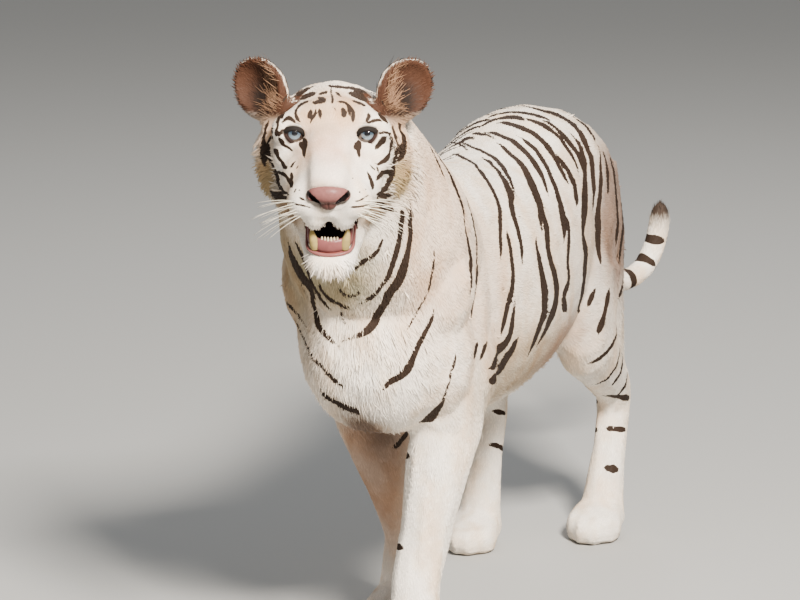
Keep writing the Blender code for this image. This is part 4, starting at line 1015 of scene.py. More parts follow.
FACE_PATCHES = (
    (BLUSH, 0.85, (0.0, -0.12, -0.020), (0.034, 0.06, 0.045)),
    (BUFF, 0.75, (0.0, -0.08, 0.020), (0.050, 0.05, 0.024)),
    (BLUSH, 0.45, (0.0, -0.19, -0.065), (0.040, 0.03, 0.02)),
    *both(BLUSH, 0.50, (0.045, -0.08, -0.040), (0.020, 0.05, 0.05)),
    (HAZEL, 0.75, (0.032, -0.06, 0.034), (0.030, 0.05, 0.022)),
    (HAZEL, 0.75, (-0.030, -0.06, 0.034), (0.028, 0.05, 0.022)),
    (HAZEL, 0.50, (0.0, -0.02, 0.055), (0.060, 0.05, 0.016)),
    *both(OCHRE, 0.95, (0.112, 0.01, -0.105), (0.028, 0.05, 0.045)),
    *both(SHADOW, 0.92, (0.074, -0.05, -0.155), (0.026, 0.06, 0.034)),
    # Olive under the chin and on the throat: painted shade.
    (THROAT_SHADE, 0.85, (0.0, -0.06, -0.275), (0.07, 0.06, 0.04)),
    *both(WARM, 0.70, (0.118, 0.02, -0.02), (0.025, 0.04, 0.05)),
    *both(WARM, 0.75, (0.105, 0.02, 0.035), (0.030, 0.04, 0.030)),
    ((0.10, 0.045, 0.035), 0.97, (0.0, -0.203, -0.085), (0.030, 0.022, 0.020)),
)

# %% [markdown]
# ## Inside of the mouth, and the colour of any place
# The skin lines the open mouth too. An outline of the hollow, seen from the side, tells which points are in
# it: they get a dark red, which darkens further back as painted shade, and no hair. The ears are brown
# inside, with painted shade deepening their hollows, and have dark backs with a pale spot.

# %% Colour of any place
THROAT_HALF_WIDTH = 0.0485
THROAT = np.array(((-0.190, -0.127), (-0.190, -0.212), (-0.158, -0.206), (-0.146, -0.203), (-0.046, -0.166),
                   (-0.046, -0.143), (-0.150, -0.129)))


def inside_outline(a, b, outline):
    """Which of the points (a, b) lie inside a closed outline."""
    inside = np.zeros(len(a), bool)
    for (a0, b0), (a1, b1) in zip(outline, np.roll(outline, -1, axis=0)):
        if b0 == b1:
            continue
        crosses = (b0 > b) != (b1 > b)
        inside ^= crosses & (a < (a1 - a0) * (b - b0) / (b1 - b0) + a0)
    return inside


def in_mouth(points):
    """Which points line the open mouth."""
    own = in_head(points)
    mirrored = folded(own)
    lobe = (np.linalg.norm((mirrored - LOBE) / LOBE_RADII, axis=1) < 1.18) & (own[:, 1] < -0.152)
    return (mirrored[:, 0] < THROAT_HALF_WIDTH) & inside_outline(own[:, 1], own[:, 2], THROAT) & ~lobe


EAR_BROWN, EAR_HOLLOW_SHADE, EAR_BACK = (0.052, 0.022, 0.012), (0.012, 0.007, 0.005), (0.045, 0.03, 0.024)
MOUTH_RED, MOUTH_SHADE = (0.22, 0.06, 0.05), (0.02, 0.008, 0.007)
DUST = (0.84, 0.68, 0.52)


def shade_between(first, second, share):
    """A colour that runs from the first to the second as the share goes from zero to one."""
    return np.array(first) * (1 - share) + np.array(second) * share


def ground_colour(points, normals):
    """The coat's colour under its stripes."""
    colour = np.tile(np.array(WHITE), (len(points), 1))
    own = in_head(points)
    for patches, places in ((BODY_PATCHES, points), (FACE_PATCHES, own)):
        for tint, strength, place, radii in patches:
            share = (strength * np.minimum(1, 1.7 * blob(places, np.array(place), np.array(radii))))[:, None]
            colour = shade_between(colour, tint, share)
    facing = unit(normals @ np.array(HEAD.inverted().to_3x3().transposed())[:3, :3])
    for side, which in ((1, "left"), (-1, "right")):
        radius, line = LINES["ear_" + which]
        distance, length, way, foot = along_line(points, line)
        on_ear = np.clip((1.30 - distance / radius) * 4, 0, 1) * np.clip((own[:, 2] + 0.020) / 0.03, 0, 1)
        outward = facing @ np.array((0.55 * side, -0.83, 0.0))
        inner = (on_ear * np.clip(outward * 3 + 0.3, 0, 1))[:, None]
        # The ear's brown inside deepens to near black in its hollow: painted shade.
        hollow = np.exp(-(((own - (0.128 * side, 0.02, 0.030)) / (0.022, 0.05, 0.030)) ** 2).sum(1))[:, None]
        hollow = np.clip(hollow * 1.4, 0, 1)
        colour = shade_between(colour, shade_between(EAR_BROWN, EAR_HOLLOW_SHADE, hollow), inner)
        back = (on_ear * np.clip(-outward * 3 - 0.6, 0, 1))[:, None]
        from_spot = np.linalg.norm((own - (0.137 * side, 0.05, 0.055)) / (0.020, 0.05, 0.018), axis=1)
        spot = np.clip(1.6 - from_spot, 0, 1)[:, None]
        colour = shade_between(colour, shade_between(EAR_BACK, WHITE, spot), back)
    cavern = in_mouth(points)
    # Further back the mouth's red darkens towards near black: painted shade.
    deep = np.clip((own[:, 1] + 0.158) / 0.02, 0, 1)[:, None]
    colour = np.where(cavern[:, None], shade_between(MOUTH_RED, MOUTH_SHADE, deep), colour)
    stain = lattice_noise(points * (1, 1, 0.4), 0.035, 33) + 0.5 * lattice_noise(points, 0.012, 34)
    stain = np.clip(0.55 * stain + 0.22, 0, 0.75)[:, None]
    colour = colour * (1 - stain * (1 - np.array(DUST)))
    mottle = 1 + 0.05 * lattice_noise(points, 0.06, 31) + 0.05 * lattice_noise(points, 0.013, 32)
    return np.clip(colour * mottle[:, None], 0, 1)


# %% [markdown]
# ## Finer faces where the stripes run
# Every vertex keeps its own depth inside the stripes, so a face that is wider than a stripe would miss it.
# Long edges near a stripe's edge are cut in two, in three passes. The first pass looks far out from each
# vertex, because a long edge can cross a stripe that neither of its ends touches.

# %% Finer faces near the stripes
FAR_OUT = -30.0  # the least depth that the skin keeps, in millimetres
PASSES = ((0.0200, FAR_OUT), (0.0135, -20.0), (0.0110, NO_STRIPE))  # longest edge left, least depth asked for
FACE_FINER = 1.7
REACH_OUT = -480  # millimetres outside a stripe for each metre of edge
shape = bmesh.new()
shape.from_mesh(skin_mesh)
for most, least in PASSES:
    places = np.array([tuple(v.co) for v in shape.verts])
    depths = stripe_depth(places, least)
    on_face = np.linalg.norm(in_head(places) - (0, -0.05, -0.05), axis=1) < 0.17
    pairs = np.array([(e.verts[0].index, e.verts[1].index) for e in shape.edges])
    sizes = np.linalg.norm(places[pairs[:, 0]] - places[pairs[:, 1]], axis=1)
    sizes = sizes * np.where(on_face[pairs[:, 0]], FACE_FINER, 1.0)
    ends = depths[pairs]
    leaves_stripe = (ends.min(1) < 2.0) | (1000 * sizes > ends.sum(1))
    chosen = (sizes > most) & (ends.max(1) > REACH_OUT * sizes) & leaves_stripe
    shape.edges.ensure_lookup_table()
    edges = [shape.edges[i] for i in np.flatnonzero(chosen)]
    bmesh.ops.subdivide_edges(shape, edges=edges, cuts=1)
    bmesh.ops.triangulate(shape, faces=[f for f in shape.faces if len(f.verts) > 3])
    shape.verts.index_update()
shape.to_mesh(skin_mesh)
shape.free()
points = coordinates(skin_mesh)
print("skin triangles with finer stripes", triangle_count(skin_mesh))

normals = coordinates(skin_mesh, "normal")
skin_stripes = stripe_depth(points, FAR_OUT)
skin_stripes[in_mouth(points)] = NO_STRIPE
skin_colours = ground_colour(points, normals)
print("share of the skin under stripes", round(float((skin_stripes > 0).mean()), 3))

# %% [markdown]
# ## The coat's material
# Skin and hair share one group of nodes. It takes the ground colour, the stripe depth and a few values that
# vary from lock to lock, all stored on the mesh, and puts out the final colour and a bump for fine hair.
# The stripe's edge is sharpened there, so it stays crisp whatever the size of the faces.

# %% Coat colour as a node group
def group_of(name, inputs, outputs):
    """A shader node group with named sockets: (name, type, value)."""
    group = bpy.data.node_groups.new(name, "ShaderNodeTree")
    for direction, sockets in (("INPUT", inputs), ("OUTPUT", outputs)):
        for label, kind, value in sockets:
            socket = group.interface.new_socket(name=label, in_out=direction, socket_type="NodeSocket" + kind)
            if value is not None and direction == "INPUT":
                socket.default_value = value
    nodes = group.nodes
    return group, nodes, nodes.new("NodeGroupInput"), nodes.new("NodeGroupOutput")


def maths(nodes, links, operation, a, b=None, c=None):
    """A Math node on numbers or sockets. Gives its output."""
    node = nodes.new("ShaderNodeMath")
    node.operation = operation
    for socket, value in zip(node.inputs, (a, b, c)):
        if value is None:
            continue
        if isinstance(value, (int, float)):
            socket.default_value = value
        else:
            links.new(value, socket)
    return node.outputs[0]


def mixed(nodes, links, factor, a, b, blend="MIX"):
    """A Mix node on colours or sockets. Gives its output."""
    node = nodes.new("ShaderNodeMix")
    node.data_type = "RGBA"
    node.blend_type = blend
    for index, value in ((0, factor), (6, a), (7, b)):
        if isinstance(value, (int, float, tuple)):
            node.inputs[index].default_value = value
        else:
            links.new(value, node.inputs[index])
    return node.outputs[2]


coat_group, nodes, given, result = group_of(
    "coat_colour",
    (("Ground", "Color", (0.8, 0.77, 0.7, 1)), ("Depth", "Float", 0.0), ("Shade", "Float", 1.0),
     ("Stripe Colour", "Color", (*STRIPE, 1)), ("Ragged", "Float", 1.2)),
    (("Color", "Color", None), ("Height", "Float", None)),
)
links = coat_group.links
position = nodes.new("ShaderNodeTexCoord")
fine = nodes.new("ShaderNodeTexNoise")
fine.inputs["Scale"].default_value = 420
fine.inputs["Detail"].default_value = 2
links.new(position.outputs["Object"], fine.inputs["Vector"])
broad = nodes.new("ShaderNodeTexNoise")
broad.inputs["Scale"].default_value = 28
links.new(position.outputs["Object"], broad.inputs["Vector"])
fray = maths(nodes, links, "SUBTRACT", fine.outputs["Fac"], 0.5)
fray = maths(nodes, links, "MULTIPLY", fray, given.outputs["Ragged"])
depth = maths(nodes, links, "ADD", given.outputs["Depth"], fray)
mask = nodes.new("ShaderNodeMapRange")
mask.interpolation_type = "SMOOTHSTEP"
mask.inputs["From Min"].default_value = -0.5
mask.inputs["From Max"].default_value = 0.5
links.new(depth, mask.inputs["Value"])
tone = maths(nodes, links, "MULTIPLY_ADD", broad.outputs["Fac"], 0.16, 0.92)
tone = maths(nodes, links, "MULTIPLY", tone, given.outputs["Shade"])
grey = nodes.new("ShaderNodeCombineColor")
for socket in grey.inputs:
    links.new(tone, socket)
ground = mixed(nodes, links, 1.0, given.outputs["Ground"], grey.outputs[0], "MULTIPLY")
stripe = mixed(nodes, links, 0.5, given.outputs["Stripe Colour"], grey.outputs[0], "MULTIPLY")
colour = mixed(nodes, links, mask.outputs["Result"], ground, stripe)
links.new(colour, result.inputs["Color"])
links.new(fine.outputs["Fac"], result.inputs["Height"])
print("group", coat_group.name, "nodes", len(nodes))


# %% Skin and lock materials
def coat_material(name, roughness, bump, ragged):
    """A material that reads its colour and stripes from the mesh, with a bump for fine hair or grain."""
    material, shader = principled(name, WHITE, roughness)
    nodes, links = material.node_tree.nodes, material.node_tree.links
    coat = nodes.new("ShaderNodeGroup")
    coat.node_tree = coat_group
    coat.inputs["Ragged"].default_value = ragged
    for label, attribute, output in (("Ground", "ground", "Color"), ("Depth", "depth", "Fac"),
                                     ("Shade", "shade", "Fac")):
        stored = nodes.new("ShaderNodeAttribute")
        stored.attribute_name = attribute
        links.new(stored.outputs[output], coat.inputs[label])
    links.new(coat.outputs["Color"], shader.inputs["Base Color"])
    if bump:
        lumps = nodes.new("ShaderNodeBump")
        lumps.inputs["Strength"].default_value = bump
        lumps.inputs["Distance"].default_value = 0.001
        links.new(coat.outputs["Height"], lumps.inputs["Height"])
        links.new(lumps.outputs["Normal"], shader.inputs["Normal"])
    shader.inputs["Specular IOR Level"].default_value = 0.12
    return material


skin_material = coat_material("hide", 0.75, 0.6, 1.5)
hair_material = coat_material("hair", 0.62, 0.0, 0.2)


def store(mesh, name, kind, values):
    """Keeps one value, or one colour, for every vertex of a mesh."""
    attribute = mesh.attributes.new(name, kind, "POINT")
    key = "color" if kind == "FLOAT_COLOR" else "value"
    if kind == "FLOAT_COLOR":
        values = np.concatenate([values, np.ones((len(values), 1))], axis=1)
    attribute.data.foreach_set(key, np.ascontiguousarray(values, dtype=np.float32).ravel())


store(skin_mesh, "depth", "FLOAT", skin_stripes)
# The skin is a little darker than the locks: painted shade under the coat.
store(skin_mesh, "shade", "FLOAT", np.full(len(points), 0.90))
store(skin_mesh, "ground", "FLOAT_COLOR", skin_colours)
skin_mesh.materials.clear()
skin_mesh.materials.append(skin_material)
skin_mesh.shade_smooth()
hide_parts(*FLESH)
print("skin replaces", len(FLESH), "nodes")

# %% [markdown]
# ## Eyes
# Each eye is a ball that looks at the viewer. Its iris needs no texture: every point stores where it lies in
# the ball's own axes, and the material draws pupil, fibres and dark rim from the distance to the line of
# sight. The iris darkens towards its top as painted shadow of the lid, and pales towards its bottom as
# painted reflection. A glossy coat stands for the wet cornea, and the ball swells a little in front as a
# real one does.

# %% Ball and iris
def grid_piece(name, rows, material, ring=False, colours=None):
    """A closed mesh from rows of points. Columns wrap round; the rows wrap too, or end in a cap."""
    count, across = rows.shape[:2]
    verts = [tuple(p) for p in rows.reshape(-1, 3)]
    faces = []
    for r in range(count if ring else count - 1):
        low, high = r * across, ((r + 1) % count) * across
        for c in range(across):
            d = (c + 1) % across
            faces.append((low + c, low + d, high + d, high + c))
    if not ring:
        faces.append(tuple(range(across)))
        faces.append(tuple(range(count * across - 1, (count - 1) * across - 1, -1)))
    mesh = bpy.data.meshes.new(name)
    mesh.from_pydata(verts, [], faces)
    shape = bmesh.new()
    shape.from_mesh(mesh)
    bmesh.ops.recalc_face_normals(shape, faces=shape.faces)
    shape.to_mesh(mesh)
    shape.free()
    mesh.shade_smooth()
    if colours is not None:
        store(mesh, "ground", "FLOAT_COLOR", colours.reshape(-1, 3))
        store(mesh, "depth", "FLOAT", np.full(len(verts), NO_STRIPE))
        store(mesh, "shade", "FLOAT", np.ones(len(verts)))
    return mesh_piece(name, mesh, material)


eye_group, nodes, given, result = group_of(
    "iris",
    (("Place", "Vector", None), ("Iris", "Float", 0.55), ("Pupil", "Float", 0.26),
     ("Pale Reflection Colour", "Color", (0.17, 0.225, 0.265, 1)), ("Lid Shadow Colour", "Color", (0.016, 0.028, 0.042, 1)),
     ("Rim Colour", "Color", (0.020, 0.012, 0.010, 1))),
    (("Color", "Color", None),),
)
links = eye_group.links
place = nodes.new("ShaderNodeSeparateXYZ")
links.new(given.outputs["Place"], place.inputs[0])
flat = nodes.new("ShaderNodeCombineXYZ")
links.new(place.outputs["X"], flat.inputs["X"])
links.new(place.outputs["Y"], flat.inputs["Y"])
reach = nodes.new("ShaderNodeVectorMath")
reach.operation = "LENGTH"
links.new(flat.outputs[0], reach.inputs[0])
away = maths(nodes, links, "MAXIMUM", reach.outputs["Value"], 0.02)
turn = nodes.new("ShaderNodeVectorMath")
turn.operation = "NORMALIZE"
links.new(flat.outputs[0], turn.inputs[0])
spokes = nodes.new("ShaderNodeTexNoise")
spokes.inputs["Scale"].default_value = 9
spokes.inputs["Detail"].default_value = 3
links.new(turn.outputs[0], spokes.inputs["Vector"])
# Darker towards the top: painted shadow of the lid. Paler towards the bottom: painted reflection.
height = maths(nodes, links, "MULTIPLY_ADD", place.outputs["Y"], -1.7, 0.10)
fibre = maths(nodes, links, "MULTIPLY_ADD", spokes.outputs["Fac"], 0.9, -0.45)
height = maths(nodes, links, "ADD", height, fibre)
blend = nodes.new("ShaderNodeClamp")
links.new(height, blend.inputs[0])
iris = mixed(nodes, links, blend.outputs[0], given.outputs["Lid Shadow Colour"], given.outputs["Pale Reflection Colour"])


def edge_at(radius, softness):
    """A soft step from zero to one as the distance passes a radius."""
    step = nodes.new("ShaderNodeMapRange")
    step.interpolation_type = "SMOOTHSTEP"
    links.new(maths(nodes, links, "SUBTRACT", radius, softness), step.inputs["From Min"])
    links.new(maths(nodes, links, "ADD", radius, softness), step.inputs["From Max"])
    links.new(away, step.inputs["Value"])
    return step.outputs["Result"]


rim = edge_at(given.outputs["Iris"], 0.035)
pupil = edge_at(given.outputs["Pupil"], 0.02)
colour = mixed(nodes, links, pupil, (0.004, 0.004, 0.005, 1), iris)
colour = mixed(nodes, links, rim, colour, given.outputs["Rim Colour"])
links.new(colour, result.inputs["Color"])

eye_material, shader = principled("eye", (0.5, 0.6, 0.7), 0.12)
nodes, links = eye_material.node_tree.nodes, eye_material.node_tree.links
drawn = nodes.new("ShaderNodeGroup")
drawn.node_tree = eye_group
stored = nodes.new("ShaderNodeAttribute")
stored.attribute_name = "place"
links.new(stored.outputs["Vector"], drawn.inputs["Place"])
links.new(drawn.outputs["Color"], shader.inputs["Base Color"])
shader.inputs["Coat Weight"].default_value = 1.0
shader.inputs["Coat Roughness"].default_value = 0.03


# %% The two eyeballs
AROUND = 64  # points in a ring of the ball
CORNEA_ANGLE, CORNEA_SWELL = 0.62, 0.05
BALL_SHARE = 0.985  # the ball is a little smaller than the solid one that it replaces
for side, which in ((1, "left"), (-1, "right")):
    middle = middle_of("eye_" + which) + HEAD.to_3x3() @ EYE_DROP
    gaze = (camera.location - middle).normalized()
    turn = gaze.to_track_quat("Z", "Y").to_matrix()
    angles = np.concatenate([np.linspace(0.02, 0.7, 22), np.linspace(0.76, math.pi - 0.02, 18)])
    round_it = np.linspace(0, 2 * math.pi, AROUND, endpoint=False)
    raised = (np.cos(angles) - math.cos(CORNEA_ANGLE)) / (1 - math.cos(CORNEA_ANGLE))
    swell = 1 + CORNEA_SWELL * np.clip(raised, 0, 1)
    local = np.stack([np.outer(np.sin(angles), np.cos(round_it)), np.outer(np.sin(angles), np.sin(round_it)),
                      np.repeat(np.cos(angles)[:, None], AROUND, 1)], 2)
    size = EYE_RADIUS * HEAD_SIZE * BALL_SHARE
    rows = (local * swell[:, None, None] * size) @ np.array(turn).T + np.array(middle)
    ball = grid_piece("eyeball_" + which, rows, eye_material)
    behind = np.where(local[..., 2:] < 0, 4.0, 1.0)
    store(ball.data, "place", "FLOAT_COLOR", (local * behind).reshape(-1, 3))
    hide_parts("eye_" + which)
print("eye size", round(size * 2000, 1), "mm across")

# %% [markdown]
# ## Lids
# The lids give an eye its look. Each is a band round the ball: its inner edge follows the almond of the
# opening, lying on the ball, and its outer edge runs under the skin. The band closes on itself behind, so
# it is a solid. The upper lid stands prouder than the lower one, and the rims are dark.

# %% Lids
OPENING = ((0.0800, -0.0020), (0.0730, 0.0030), (0.0640, 0.0038), (0.0560, 0.0004), (0.0500, -0.0066),
           (0.0472, -0.0166), (0.0530, -0.0200), (0.0600, -0.0202), (0.0690, -0.0166), (0.0765, -0.0090))
TEAR_DUCT = (0.0450, -0.0215)
LID_STEPS = (  # offset from the opening's edge, height over the ball, share of the skin's height, depth in it
    (-0.0006, 0.0003, 0.0, 0.0),
    (0.0010, 0.0016, 0.0, 0.0),
    (0.0026, 0.0022, 0.10, -0.0006),
    (0.0048, 0.0022, 0.45, -0.0006),
    (0.0080, 0.0018, 0.85, -0.0006),
    (0.0120, 0.0, 1.0, 0.0008),
    (0.0150, 0.0, 1.0, 0.0030),
    (0.0060, -0.0050, 0.0, 0.0),
)
RIM_DARK, RIM_BROWN, RIM_PALE = (0.008, 0.006, 0.005), (0.020, 0.010, 0.008), (0.20, 0.13, 0.10)


def closed_curve(places, count):
    """A smooth closed curve through the places, with evenly spaced points."""
    places = np.array(places)
    n = len(places)
    chain = []
    for i in range(n):
        a, b, c, d = (places[(i + k) % n] for k in (-1, 0, 1, 2))
        for t in np.arange(12) / 12:
            chain.append(curve_point(a, b, c, d, t))
    chain = np.array(chain)
    ends = np.vstack([chain, chain[:1]])
    run = np.concatenate([[0], np.cumsum(np.linalg.norm(np.diff(ends, axis=0), axis=1))])
    spots = np.linspace(0, run[-1], count, endpoint=False)
    return np.stack([np.interp(spots, run, ends[:, k]) for k in (0, 1)], 1)


def skin_front(x, z):
    """How far forward the skin lies at a place of the face, in head axes."""
    start = Vector(from_head((x, -0.40, z)))
    way = Vector(from_head((x, 0.0, z))) - start
    hit = skin_tree.ray_cast(start, way.normalized())[0]
    return in_head(np.array([hit]))[0, 1] if hit is not None else 0.0


# %% [markdown]
# ## Build the lids
# Each row of the band is the opening's curve, moved out by a step. On the ball a row follows the ball, and
# further out it follows the skin. The dark rim is broadest round the tear duct's corner.

# %% Build the lids
LID_POINTS = 80
INNER_RADIUS = 0.0150  # how far the dark reaches round the tear duct
edge = closed_curve(OPENING, LID_POINTS)
tangent = np.roll(edge, -1, 0) - np.roll(edge, 1, 0)
outward = unit(np.stack([-tangent[:, 1], tangent[:, 0]], 1))
if ((edge - edge.mean(0)) * outward).sum() < 0:
    outward = -outward
for side, which in ((1, "left"), (-1, "right")):
    rows, tints = [], []
    for offset, over, share, sunk in LID_STEPS:
        row, tint = [], []
        for (x, z), (nx, nz) in zip(edge, outward):
            upper = max(nz, 0.0)
            px, pz = x + nx * offset, z + nz * offset
            radius = EYE_RADIUS + over * (1 + 0.7 * upper)
            reach = radius ** 2 - (px - EYE.x) ** 2 - (pz - EYE.z - EYE_DROP.z) ** 2
            ball_y = EYE.y - math.sqrt(max(reach, (0.45 * radius) ** 2))
            skin_y = skin_front(px * side, pz)
            if skin_y > EYE.y + 0.004 or share == 0:
                skin_y = ball_y
            row.append((px * side, ball_y * (1 - share) + (skin_y + sunk) * share, pz))
            from_duct = (px - TEAR_DUCT[0]) ** 2 + (pz - TEAR_DUCT[1]) ** 2
            inner = math.exp(-from_duct / INNER_RADIUS ** 2)
            dark = 0.0046 + 0.0034 * upper + 0.0190 * inner
            fade = np.clip((offset - dark) / 0.0022, 0, 1)
            brown = np.clip((offset - dark - 0.0018) / 0.0030, 0, 1)
            first = np.array(RIM_DARK) * (upper > 0.05) + np.array(RIM_BROWN) * (upper <= 0.05)
            first = first * (1 - inner) + np.array(RIM_DARK) * inner
            middle_tint = np.array(RIM_BROWN) * (upper > 0.05) + np.array(RIM_PALE) * (upper <= 0.05)
            shade = first * (1 - fade) + middle_tint * fade
            tint.append(shade * (1 - brown) + np.array(WHITE) * brown)
        rows.append(row)
        tints.append(tint)
    band = from_head(np.array(rows))
    grid_piece("lids_" + which, band, skin_material, ring=True, colours=np.array(tints))
print("lids, points round the opening", len(edge))

# %% [markdown]
# ## Nose
# The nose leather is a few ellipsoids welded by a voxel remesh: a broad pad, a wing on each side and a
# lower V that runs into the groove of the lip. The nostrils are pressed in afterwards by moving points back
# to the far side of a slanting ellipsoid, which keeps the piece one closed body.

# %% Nose leather
def welded(name, build, voxel, rounds):
    """A closed mesh from overlapping forms."""
    shape = bmesh.new()
    build(shape)
    mesh = bpy.data.meshes.new(name)
    shape.to_mesh(mesh)
    shape.free()
    piece = mesh_piece(name, mesh)
    weld = piece.modifiers.new("weld", "REMESH")
    weld.mode = "VOXEL"
    weld.voxel_size = voxel
    soft = piece.modifiers.new("soft", "SMOOTH")
    soft.iterations = rounds
    baked(piece)
    piece.data.shade_smooth()
    return piece


def nose_shape(shape):
    """The broad pad, the lower V and the two wings."""
    ball_shape(shape, (0, -0.1930, -0.0770), (0.0365, 0.0240, 0.0200), (-18, 0, 0))
    ball_shape(shape, (0, -0.1925, -0.0930), (0.0165, 0.0140, 0.0150))
    for side in (1, -1):
        ball_shape(shape, (0.0280 * side, -0.1880, -0.0800), (0.0130, 0.0180, 0.0120), (0, 25 * side, 0))


NOSE_VOXEL, NOSE_ROUNDS = 0.0011, 6
NOSTRIL_SLANT = math.radians(42)
NOSTRILS = (((0.0250, -0.2050, -0.0840), (0.0160, 0.0150, 0.0056)),  # middle and radii of the two hollows
            ((0.0345, -0.2030, -0.0765), (0.0065, 0.0040, 0.0055)))
nose = welded("nose", nose_shape, NOSE_VOXEL, NOSE_ROUNDS)
own = in_head(coordinates(nose.data))
nostril = np.zeros(len(own))
for side in (1, -1):
    slant = NOSTRIL_SLANT * side
    for middle, radii in NOSTRILS:
        away = own - np.array(middle) * (side, 1, 1)
        along = away[:, 0] * math.cos(slant) + away[:, 2] * math.sin(slant)
        across = -away[:, 0] * math.sin(slant) + away[:, 2] * math.cos(slant)
        flat_reach = (along / radii[0]) ** 2 + (across / radii[2]) ** 2
        inside = np.clip(1 - flat_reach, 0, 1)
        nostril = np.maximum(nostril, np.clip((1.25 - flat_reach) * 2.2, 0, 1))
        hollow = np.where(inside > 0, middle[1] + radii[1] * np.sqrt(inside) * 0.8, -9)
        own[:, 1] = np.maximum(own[:, 1], hollow)
groove = np.exp(-(own[:, 0] / 0.0016) ** 2) * np.clip((-0.084 - own[:, 2]) / 0.006, 0, 1)
own[:, 1] += 0.0022 * groove
nose.data.vertices.foreach_set("co", from_head(own).ravel())
nose.data.update()
# The nostrils are dark: partly the dark skin round them, partly painted shade for the depth of the openings.
PINK, MAROON, NOSTRIL_DARK = (0.16, 0.064, 0.059), (0.065, 0.026, 0.022), (0.008, 0.005, 0.005)
low = np.clip((-0.0825 - own[:, 2] + 0.08 * np.abs(own[:, 0])) / 0.008, 0, 1)[:, None]
tint = shade_between(shade_between(PINK, MAROON, low), NOSTRIL_DARK, nostril[:, None])
tint *= (1 + 0.10 * lattice_noise(own, 0.004, 51))[:, None]
store(nose.data, "ground", "FLOAT_COLOR", np.clip(tint, 0, 1))
store(nose.data, "depth", "FLOAT", np.full(len(own), NO_STRIPE))
store(nose.data, "shade", "FLOAT", np.ones(len(own)))
leather = coat_material("nose_leather", 0.38, 0.35, 0.0)
nose.data.materials.append(leather)
print("nose triangles", triangle_count(nose.data))

# %% [markdown]
# ## Mouth
# The mouth is open, so it needs a wet lower lip, a gum and the lower teeth. The lip is a tube along the
# jaw's edge. The teeth are turned shapes: a curved cone for each canine and small pegs for the incisors.
# The upper canines stay behind the lip, and no tongue shows.

# %% Lips, gum and teeth
def tube_rows(path, radii, across=12, flat=1.0):
    """Rows of points round a path, the cross-sections of a tube."""
    path = np.asarray(path, float)
    radii = np.broadcast_to(radii, len(path)).astype(float)
    way = unit(np.gradient(path, axis=0))
    guide = np.where(np.abs(way[:, 2:]) > 0.85, (0.0, 1.0, 0.0), (0.0, 0.0, 1.0))
    side = unit(np.cross(way, guide))
    up = np.cross(side, way)
    angles = np.linspace(0, 2 * math.pi, across, endpoint=False)
    return (path[:, None] + (side[:, None] * np.cos(angles)[None, :, None]
                             + up[:, None] * np.sin(angles)[None, :, None] * flat) * radii[:, None, None])


def mouth_piece(name, path, radii, colour, across=12, flat=1.0, material=None):
    """A tube along a path in head axes, with a little mottling in its colour."""
    path = smooth_chain(path, 0.002)
    share = np.linspace(0, 1, len(path))
    ends = np.interp(share, (0, 0.04, 0.96, 1), (0.25, 1, 1, 0.25))
    size = np.interp(share, np.linspace(0, 1, len(radii)), radii) * ends
    rows = from_head(tube_rows(path, size, across, flat).reshape(-1, 3)).reshape(len(path), across, 3)
    tint = np.array(colour) * (1 + 0.12 * lattice_noise(rows.reshape(-1, 3), 0.005, 61))[:, None]
    return grid_piece(name, rows, material or wet, colours=np.clip(tint, 0, 1).reshape(rows.shape))


wet = coat_material("wet_lip", 0.28, 0.25, 0.0)
ivory = coat_material("tooth", 0.30, 0.12, 0.0)
LIP_RED, GUM_RED = (0.17, 0.062, 0.058), (0.15, 0.050, 0.048)
TOOTH_YELLOW, TOOTH_WHITE = (0.27, 0.20, 0.070), (0.44, 0.35, 0.23)
LOWER_LIP = ((-0.0440, -0.086, -0.1720), (-0.0430, -0.118, -0.1880), (-0.0400, -0.142, -0.1985),
             (-0.0250, -0.1560, -0.2040), (0.0, -0.1610, -0.2060), (0.0250, -0.1560, -0.2040),
             (0.0400, -0.142, -0.1985), (0.0430, -0.118, -0.1880), (0.0440, -0.086, -0.1720))
mouth_piece("lower_lip", LOWER_LIP, (0.0022, 0.0030, 0.0034, 0.0034, 0.0030, 0.0022), LIP_RED)
GUM = tuple((x * 0.88, y + 0.004, z + 0.0160) for x, y, z in LOWER_LIP)
mouth_piece("gum", GUM, (0.0030, 0.0046, 0.0052, 0.0052, 0.0046, 0.0030), GUM_RED, flat=2.4)
for side, which in ((1, "left"), (-1, "right")):
    tooth = ((0.0265 * side, -0.1480, -0.1980), (0.0285 * side, -0.1520, -0.1840),
             (0.0315 * side, -0.1520, -0.1700), (0.0330 * side, -0.1480, -0.1570))
    mouth_piece("canine_" + which, tooth, (0.0085, 0.0088, 0.0076, 0.0052, 0.0014), TOOTH_YELLOW, 16,
                material=ivory)
for number, x in enumerate((-0.0140, -0.0084, -0.0028, 0.0028, 0.0084, 0.0140)):
    y = -0.1570 + 0.25 * abs(x)
    peg = ((x, y, -0.1900), (x, y - 0.001, -0.1800), (x, y - 0.001, -0.1720))
    mouth_piece(f"incisor_{number + 1}", peg, (0.0026, 0.0027, 0.0024, 0.0014), TOOTH_WHITE, 10,
                material=ivory)

# %% [markdown]
# ## Whiskers
# Whiskers grow in rows on the pads beside the nose and sweep out, back and down. Each is a thin tapering
# tube. They are joined in one piece, since there is nothing to be gained by keeping them apart.

